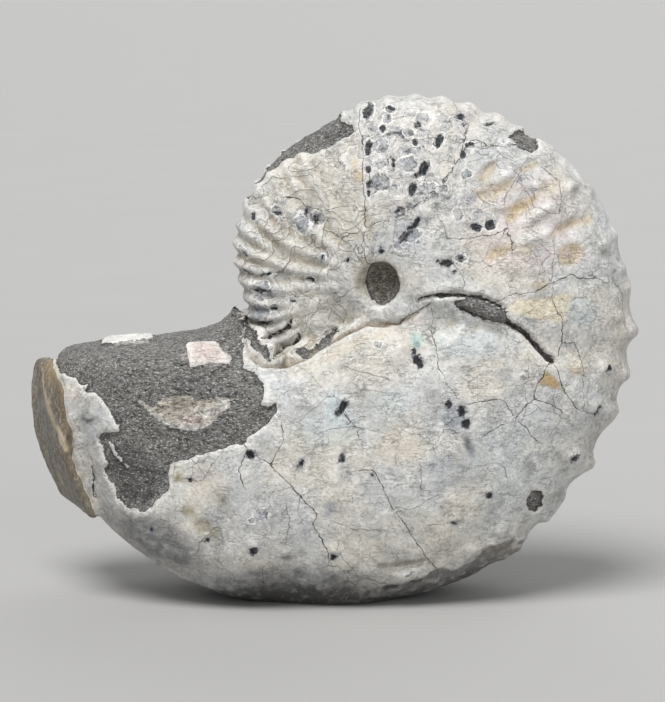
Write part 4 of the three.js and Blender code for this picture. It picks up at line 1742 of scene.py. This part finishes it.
@dataclass(frozen=True)
class SpotFinish:
    """Blue-black mineral in the pits."""

    black: Colour = srgb(16, 18, 21)
    ink: Colour = srgb(46, 51, 60)
    blue: Colour = srgb(130, 136, 146)
    roughness: float = 0.3
    jags: Grain = Grain(0.8, 5.0, 0.72)
    stray: Fade = (-0.95, 0.95)
    border: Fade = (-0.13, 0.15)
    halo: Fade = (-0.8, 0.1)
    halo_patches: Mottle = Mottle(Grain(0.6), (0.4, 0.58))
    halo_strength: float = 0.6
    inking: Mottle = Mottle(Grain(0.9), (0.5, 0.68))
    glints: Mottle = Mottle(Grain(0.4), (0.58, 0.7), 0.5)
    depth: float = 0.25


@dataclass(frozen=True)
class FrillFinish:
    """The frilled chamber walls and their ringed cells, which show through the worn shell."""

    frills: Grain = Grain(2.4, 3.0, 0.55, 0.6)
    fill: Fade = (0.48, 0.55)
    fill_strength: float = 0.55
    core: Fade = (0.6, 0.68)
    core_strength: float = 0.8
    line_levels: tuple[float, ...] = (0.48, 0.57)
    line_width: Fade = (0.004, 0.014)
    cell_frills: Grain = Grain(1.1, 3.0, 0.6, 0.8)
    cell_stray: Fade = (-0.7, 0.7)
    cell_border: Fade = (0.75, 1.0)
    cell_patches: Mottle = Mottle(Grain(2.2, 4.0, 0.6), (0.36, 0.6), 0.65)
    cell_smoke: Mottle = Mottle(Grain(1.7, 4.0, 0.6), (0.52, 0.66), 0.75)
    outer_ring: Fade = (1.0, 0.95)
    outer_ring_width: Fade = (0.072, 0.18)
    inner_ring: Fade = (0.5, 0.35)
    inner_ring_width: Fade = (0.044, 0.11)
    ring_patches: Mottle = Mottle(Grain(1.8), (0.36, 0.52))
    lost_in_pits: float = 0.8


@dataclass(frozen=True)
class StoneFinish:
    """The whole fossil's finish: shell, bare rock, the brown end and the dark spots together."""

    shell: ShellFinish = ShellFinish()
    rock: RockFinish = RockFinish()
    plate: PlateFinish = PlateFinish()
    spot: SpotFinish = SpotFinish()
    frill: FrillFinish = FrillFinish()

    def material(self) -> bpy.types.Material:
        """Make the fossil's material.

        Returns:
            The finished material.
        """
        shell, rock = self.shell, self.rock
        shader = Shader("fossil stone")
        colour, shell_height = self.shell_layers(shader)
        rock_colour, rock_height = self.rock_layers(shader)
        plate_colour, plate_height, on_plate = self.plate_layers(shader)
        ragged = shader.scale(shader.grain(shell.break_jags), shell.break_stray)
        edge = shader.attribute("bare") + ragged
        bare = shader.rise(edge, rock.border)
        rim = shader.rise(edge, shell.break_rim) * shell.break_rim_strength
        colour = shader.blend(rim, colour, shell.white)
        shadow = (1.0 - shader.rise(edge, rock.shadow)) * rock.shadow_strength
        rock_colour = shader.blend(shadow, rock_colour, rock.dark)
        colour = shader.blend(bare, colour, rock_colour)
        colour = shader.blend(on_plate, colour, plate_colour)
        covered = 1.0 - bare
        spot, halo = (mask * covered for mask in self.spots(shader))
        colour = shader.blend(halo * self.spot.halo_strength, colour, self.spot.blue)
        colour = shader.blend(spot, colour, self.spot_colour(shader))
        colour = self.cell_rings(shader, colour, covered - spot * self.frill.lost_in_pits)
        rough = shader.scale(bare, (shell.roughness, rock.roughness))
        rough = rough + spot * (self.spot.roughness - shell.roughness)
        height = shell_height * (1.0 - shader.math("MAXIMUM", bare, on_plate))
        height = height + rock_height * bare + plate_height * on_plate
        height = height - bare * rock.recess - spot * self.spot.depth
        return shader.finish(colour, rough, height)

    def shell_layers(self, shader: Shader) -> tuple[Value, Value]:
        """Make the shell's colour and relief.

        Args:
            shader: Where its nodes go.

        Returns:
            Colour, and height in millimetres.
        """
        shell = self.shell
        hollow, stained = shader.attribute("hollow"), shader.attribute("stain", "Alpha")
        grain, wear = shader.grain(shell.grain), shader.grain(shell.wear)
        colour = shader.blend(shader.mottle(shell.clouds), shell.cool, shell.cream)
        colour = shader.blend(shader.mottle(shell.mottling), colour, shell.grey)
        colour = shader.blend(shader.rise(wear, shell.chalk) * shell.chalk_strength, colour, shell.white)
        broken = shader.scale(shader.grain(shell.stain_patches), shell.stain_strength)
        colour = shader.blend(stained * broken, colour, shader.attribute("stain", "Color"))
        # Painted shade: the furrow colour darkens the hollows, partly the tan fill of the furrows, and white
        # lightens the ridges as a painted highlight.
        furrow = shader.rise(hollow, shell.furrows) * shader.scale(stained, shell.furrow_shade_strength)
        colour = shader.blend(furrow, colour, shell.furrow)
        colour = shader.blend(shader.rise(hollow, shell.ridges) * shell.ridge_highlight_strength, colour, shell.white)
        colour = self.cells(shader, self.frills(shader, colour))
        colour, flake_height = self.flakes(shader, colour)
        colour = shader.shaded(colour, shader.scale(grain, shell.grain_shade))
        colour = shader.blend(shader.mottle(shell.flecks), colour, shell.fleck)
        hair = shader.line(shader.grain(shell.hairs) - shell.hair_level, shell.hair_width)
        hair = hair * shader.mottle(shell.hair_patches)
        net = shader.math("MAXIMUM", shader.crazing(shell.wide_net), shader.crazing(shell.fine_net))
        crack = self.cracks(shader)
        for line in (hair * shell.hair_strength, net, crack * shell.crack_strength):
            colour = shader.blend(line, colour, shell.crack)
        height = grain * shell.grain_height + wear * shell.wear_height + flake_height
        return colour, height - hair * shell.hair_depth - net * shell.net_depth - crack * shell.crack_depth

    def frills(self, shader: Shader, colour: Value) -> Value:
        """Draw the frilled chamber walls over the shell's colour.

        Args:
            shader: Where the nodes go.
            colour: The shell's colour.

        Returns:
            The colour with the frills.
        """
        frill = self.frill
        cover, noisy = shader.attribute("suture"), shader.grain(frill.frills)
        inside = shader.rise(noisy, frill.fill) * cover
        colour = shader.blend(inside * frill.fill_strength, colour, self.spot.blue)
        core = shader.rise(noisy, frill.core) * cover
        colour = shader.blend(core * frill.core_strength, colour, self.spot.ink)
        for level in frill.line_levels:
            line = shader.line(noisy - level, frill.line_width) * cover
            colour = shader.blend(line, colour, self.shell.white)
        return colour

    def cells(self, shader: Shader, colour: Value) -> Value:
        """Draw the cells of the chamber walls over the shell's colour.

        Args:
            shader: Where the nodes go.
            colour: The shell's colour.

        Returns:
            The colour with the cells.
        """
        inside = 1.0 - shader.rise(self.cell_spread(shader), self.frill.cell_border)
        colour = shader.blend(inside * shader.mottle(self.frill.cell_patches), colour, self.spot.blue)
        return shader.blend(inside * shader.mottle(self.frill.cell_smoke), colour, self.spot.ink)

    def cell_spread(self, shader: Shader) -> Value:
        """Return the frilled distance from a cell's middle, with 1 on its edge."""
        stray = shader.scale(shader.grain(self.frill.cell_frills), self.frill.cell_stray)
        return shader.attribute("floret") + stray

    def cell_rings(self, shader: Shader, colour: Value, covered: Value) -> Value:
        """Draw the white frills around the cells of the chamber walls.

        Args:
            shader: Where the nodes go.
            colour: The colour under the frills.
            covered: 1 on the shell, less in its pits and 0 where it is lost.

        Returns:
            The colour with the frills.
        """
        frill = self.frill
        spread = self.cell_spread(shader)
        broken = covered * shader.mottle(frill.ring_patches)
        for (level, strength), width in (
            (frill.outer_ring, frill.outer_ring_width), (frill.inner_ring, frill.inner_ring_width),
        ):
            ring = shader.line(spread - level, width) * broken
            colour = shader.blend(ring * strength, colour, self.shell.white)
        return colour

    def flakes(self, shader: Shader, colour: Value) -> tuple[Value, Value]:
        """Draw the edges of the flaked layers over the shell's colour, with a painted shadow below each edge
        and a painted highlight on its crest.

        Args:
            shader: Where the nodes go.
            colour: The shell's colour.

        Returns:
            The colour with the edges, and their height in millimetres.
        """
        shell = self.shell
        cover = shader.attribute("crust")
        jagged = shader.scale(shader.grain(shell.flake_jags), shell.flake_stray)
        layers = shader.attribute("layers") + jagged
        height = cover * 0.0
        for level in Crust.levels:
            above = shader.rise(layers, (level - shell.flake_slope, level + shell.flake_slope))
            height = height + above * shell.flake_height
            below = shader.rise(layers, (level - shell.flake_shadow, level)) - above
            colour = shader.blend(below * cover * shell.flake_shadow_strength, colour, shell.edge)
            past = shader.rise(layers, tuple(level + step for step in shell.flake_shine))
            crest = above - past
            colour = shader.blend(crest * cover * shell.flake_shine_strength, colour, shell.white)
        return colour, height * cover

    def cracks(self, shader: Shader) -> Value:
        """Return 1 on a longer crack and 0 off it."""
        shell = self.shell
        jagged = shader.scale(shader.grain(shell.crack_jags), shell.crack_stray)
        width = shader.scale(shader.grain(shell.crack_widening), shell.crack_width)
        line = shader.line(shader.attribute("crack") + jagged, (width * shell.crack_core, width))
        return line * shader.attribute("crack_near")

    def spots(self, shader: Shader) -> tuple[Value, Value]:
        """Return where the dark pits are, and the stained shell around them."""
        inside = shader.attribute("pit") + shader.scale(shader.grain(self.spot.jags), self.spot.stray)
        halo = shader.rise(inside, self.spot.halo) * shader.mottle(self.spot.halo_patches)
        return shader.rise(inside, self.spot.border), halo

    def spot_colour(self, shader: Shader) -> Value:
        """Return the dark pits' colour."""
        colour = shader.blend(shader.mottle(self.spot.inking), self.spot.black, self.spot.ink)
        return shader.blend(shader.mottle(self.spot.glints), colour, self.spot.blue)

    def rock_layers(self, shader: Shader) -> tuple[Value, Value]:
        """Make the rock's colour and relief.

        Args:
            shader: Where its nodes go.

        Returns:
            Colour, and height in millimetres.
        """
        rock = self.rock
        grit, lump, speck = (shader.grain(grain) for grain in (rock.grit, rock.lumps, rock.specks))
        colour = shader.blend(shader.rise(grit, rock.grit_span), rock.dark, rock.middle)
        colour = shader.blend(shader.mottle(rock.browning), colour, rock.brown)
        colour = shader.shaded(colour, shader.scale(lump, rock.lump_shade))
        held = shader.rise(shader.attribute("stain", "Alpha"), rock.stain_span)
        held = held * shader.scale(grit, rock.stain_strength)
        stain = shader.shaded(shader.attribute("stain", "Color"), shader.scale(grit, rock.stain_shade))
        colour = shader.blend(held, colour, stain)
        specks = shader.rise(speck, rock.speck_span) * shader.scale(held, rock.speck_strength)
        colour = shader.blend(specks, colour, rock.pale)
        height = grit * rock.grit_height + speck * rock.speck_height
        return colour, height + lump * rock.lump_height

    def plate_layers(self, shader: Shader) -> tuple[Value, Value, Value]:
        """Make the brown end's colour and relief.

        Args:
            shader: Where its nodes go.

        Returns:
            Colour, height in millimetres, and 1 on the brown end.
        """
        plate = self.plate
        inside, stained = shader.attribute("plate"), shader.attribute("stain", "Alpha")
        streak, speck, grit = (shader.grain(grain) for grain in (plate.streaks, plate.specks, plate.grit))
        colour = shader.blend(shader.rise(streak, plate.streak_span), plate.dark, plate.light)
        colour = shader.blend(shader.mottle(plate.greying), colour, plate.grey)
        for span, tint in ((plate.pale_specks, plate.pale), (plate.dark_specks, plate.dark)):
            colour = shader.blend(shader.rise(speck, span) * plate.speck_strength, colour, tint)
        rim = (1.0 - shader.rise(inside, plate.rim_span)) * plate.rim_strength
        colour = shader.blend(rim, colour, plate.rim)
        colour = shader.shaded(colour, shader.scale(grit, plate.grit_shade))
        colour = shader.blend(stained * plate.stain_strength, colour, shader.attribute("stain", "Color"))
        height = streak * plate.streak_height + grit * plate.grit_height
        return colour, height, shader.rise(inside, plate.border)


@dataclass
class Fossil:
    """The whole fossil as one stone."""

    view: PhotoView
    spiral: Spiral = Spiral()
    voxel: float = 0.575
    smoothing: int = 4
    smoothing_share: float = 0.5
    umbilicus: Point = (9.57, 62.0)
    cavity_steps: int = 14
    end_slant: float = 0.235
    end_reach: Fade = (44.0, 60.0)
    finish: StoneFinish = StoneFinish()

    def form(self) -> bpy.types.Mesh:
        """Fuse the coil, the body chamber and the end plate into one closed form.

        Returns:
            The form's mesh in millimetres from the umbilicus.
        """
        joined = bmesh.new()
        for shape in (Coil(self.spiral).build(), BodyChamber(self.spiral).build(), EndPlate().build()):
            part = bpy.data.meshes.new("part")
            shape.to_mesh(part)
            shape.free()
            joined.from_mesh(part)
            bpy.data.meshes.remove(part)
        loose = bpy.data.meshes.new("loose")
        joined.to_mesh(loose)
        joined.free()
        holder = bpy.data.objects.new("holder", loose)
        bpy.context.scene.collection.objects.link(holder)
        remesh = holder.modifiers.new("fuse", "REMESH")
        remesh.mode = "VOXEL"
        remesh.voxel_size = self.voxel
        fused = bpy.data.meshes.new_from_object(holder.evaluated_get(bpy.context.evaluated_depsgraph_get()))
        bpy.data.objects.remove(holder)
        bpy.data.meshes.remove(loose)
        return fused

    def build(self) -> bpy.types.Object:
        """Make the fossil.

        Returns:
            The dressed fossil's object.
        """
        mesh = self.form()
        shape = bmesh.new()
        shape.from_mesh(mesh)
        self.rest(shape)
        every_way = {"use_axis_x": True, "use_axis_y": True, "use_axis_z": True}
        for _ in range(self.smoothing):
            bmesh.ops.smooth_vert(shape, verts=shape.verts, factor=self.smoothing_share, **every_way)
        bmesh.ops.translate(shape, verts=shape.verts, vec=(self.umbilicus[0], 0.0, self.umbilicus[1]))
        bmesh.ops.recalc_face_normals(shape, faces=shape.faces)
        shape.to_mesh(mesh)
        shape.free()
        self.work(mesh)
        mesh.transform(Matrix.Scale(MM, 4))
        mesh.shade_smooth()
        mesh.materials.clear()
        mesh.materials.append(self.finish.material())
        mesh.name = "fossil_stone"
        piece = bpy.data.objects.new("fossil_stone", mesh)
        bpy.context.scene.collection.objects.link(piece)
        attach(piece, "root")
        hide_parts("ammonite_fossil")
        return piece

    def rest(self, shape: bmesh.types.BMesh) -> None:
        """Wear the form's underside flat and slant its broken end towards the front."""
        for vert in shape.verts:
            vert.co.z = max(vert.co.z, -self.umbilicus[1])
            vert.co.x -= self.end_slant * vert.co.y * float(ease(-vert.co.x, *self.end_reach))

    @staticmethod
    def read(mesh: bpy.types.Mesh, name: str) -> Array:
        """Read the place or the normal of each vertex, one row each."""
        values = np.empty(len(mesh.vertices) * 3)
        mesh.vertices.foreach_get(name, values)
        return values.reshape(-1, 3)

    def work(self, mesh: bpy.types.Mesh) -> None:
        """Work the relief into the surface and mark it.

        Args:
            mesh: The smooth form in millimetres.
        """
        places = self.read(mesh, "co")
        surface = Surface(places, self.umbilicus, self.spiral, self.view)
        rock, pits, crust, plate = BareRock(), Pits(), Crust(), PlateFace()
        bare, pit, end = rock.depth(surface), pits.depth(surface), plate.depth(surface)
        coil = CoilFlank().cover(surface)
        layers, flaked = crust.layers(surface), crust.cover(surface, coil, bare)
        height = Undulation().height(surface) + Ribs().height(surface, coil, bare)
        height += crust.height(layers, flaked)
        height += rock.height(surface, bare) + pits.height(pit) + plate.height(end)
        height += Seam().height(surface) + Dents().height(surface) + BaseBreak().height(surface)
        worked = places + self.read(mesh, "normal") * height[:, None]
        worked[:, 2] = np.maximum(worked[:, 2], 0.0)
        mesh.vertices.foreach_set("co", worked.ravel())
        mesh.update()
        offset, near = Cracks().traces(surface)
        fields = {
            "bare": bare, "pit": pit, "crack": offset, "crack_near": near,
            "suture": SutureZone().cover(surface), "plate": end, "crust": flaked, "layers": layers,
            "floret": Florets().spread(surface), "hollow": self.hollows(mesh, worked),
        }
        for name, values in fields.items():
            mesh.attributes.new(name, "FLOAT", "POINT").data.foreach_set("value", values.astype(np.float32))
        # The stain field also carries the painted shade, shadows and highlights.
        stain = mesh.attributes.new("stain", "FLOAT_COLOR", "POINT")
        stain.data.foreach_set("color", StainsAndPaintedLight().colours(surface).astype(np.float32).ravel())

    def hollows(self, mesh: bpy.types.Mesh, places: Array) -> Array:
        """Measure how far places lie below their surroundings.

        Args:
            mesh: The worked mesh.
            places: Its vertices.

        Returns:
            Depths in millimetres, positive in hollows and negative on ridges.
        """
        ends = np.empty(len(mesh.edges) * 2, np.int32)
        mesh.edges.foreach_get("vertices", ends)
        first, second = ends.reshape(-1, 2).T
        count = np.bincount(ends, minlength=len(places))[:, None]
        flat = places
        for _ in range(self.cavity_steps):
            total = np.zeros_like(flat)
            np.add.at(total, first, flat[second])
            np.add.at(total, second, flat[first])
            flat = (flat + total / count) / 2.0
        return np.sum((flat - places) * self.read(mesh, "normal"), axis=1)


@dataclass(frozen=True)
class SoftLight:
    """One soft light, as far away as a large lamp in a studio."""

    name: str
    direction: tuple[float, float, float]
    spread: float
    strength: float

    def build(self) -> None:
        """Set the light so that it shines on the fossil from its direction."""
        data = bpy.data.lights.new(self.name, "SUN")
        data.angle = math.radians(self.spread)
        data.energy = self.strength
        light = bpy.data.objects.new(self.name, data)
        light.rotation_euler = (-Vector(self.direction)).to_track_quat("-Z", "Y").to_euler()
        bpy.context.scene.collection.objects.link(light)


@dataclass
class Studio:
    """A plain pale floor and soft light."""

    floor_size: float = 300.0
    floor_rise: float = 20.0
    floor_cells: int = 4
    floor_colour: Colour = srgb(168, 167, 165)
    floor_grain: Grain = Grain(60.0, 2.0)
    floor_shade: Fade = (0.97, 1.03)
    floor_roughness: float = 0.8
    lights: tuple[SoftLight, ...] = (
        SoftLight("key", (-0.14, -0.34, 0.72), 30.0, 3.1),
        SoftLight("fill", (0.3, -0.9, 0.35), 50.0, 0.6),
        SoftLight("back", (0.3, 0.8, 0.6), 60.0, 0.7),
    )
    sky_colour: Colour = (0.9, 0.92, 0.95)
    sky: float = 0.36

    def build(self) -> None:
        """Lay the floor and set the lights."""
        self.floor()
        for light in self.lights:
            light.build()
        world = bpy.data.worlds.new("soft surroundings")
        world.use_nodes = True
        background = world.node_tree.nodes["Background"]
        background.inputs["Color"].default_value = (*self.sky_colour, 1.0)
        background.inputs["Strength"].default_value = self.sky
        bpy.context.scene.world = world
        bpy.context.scene.view_settings.view_transform = "Standard"

    def floor(self) -> None:
        """Lay the floor."""
        shape = bmesh.new()
        cells = self.floor_cells
        bmesh.ops.create_grid(shape, x_segments=cells, y_segments=cells, size=self.floor_size)
        border = [vert for vert in shape.verts if vert.is_boundary]
        bmesh.ops.translate(shape, verts=border, vec=(0.0, 0.0, self.floor_rise))
        mesh = bpy.data.meshes.new("floor")
        shape.to_mesh(mesh)
        shape.free()
        shader = Shader("pale floor")
        shade = shader.scale(shader.grain(self.floor_grain), self.floor_shade)
        mesh.materials.append(shader.finish(shader.shaded(self.floor_colour, shade), self.floor_roughness))
        floor = bpy.data.objects.new("floor", mesh)
        bpy.context.scene.collection.objects.link(floor)


def main() -> None:
    """Build the fossil, its studio and its view."""
    logging.basicConfig(level=logging.INFO, format="%(name)s: %(message)s")
    view = PhotoView()
    view.camera()
    Studio().build()
    piece = Fossil(view).build()
    log.info("%s: %d faces", piece.name, len(piece.data.polygons))


if __name__ == "__main__":
    main()
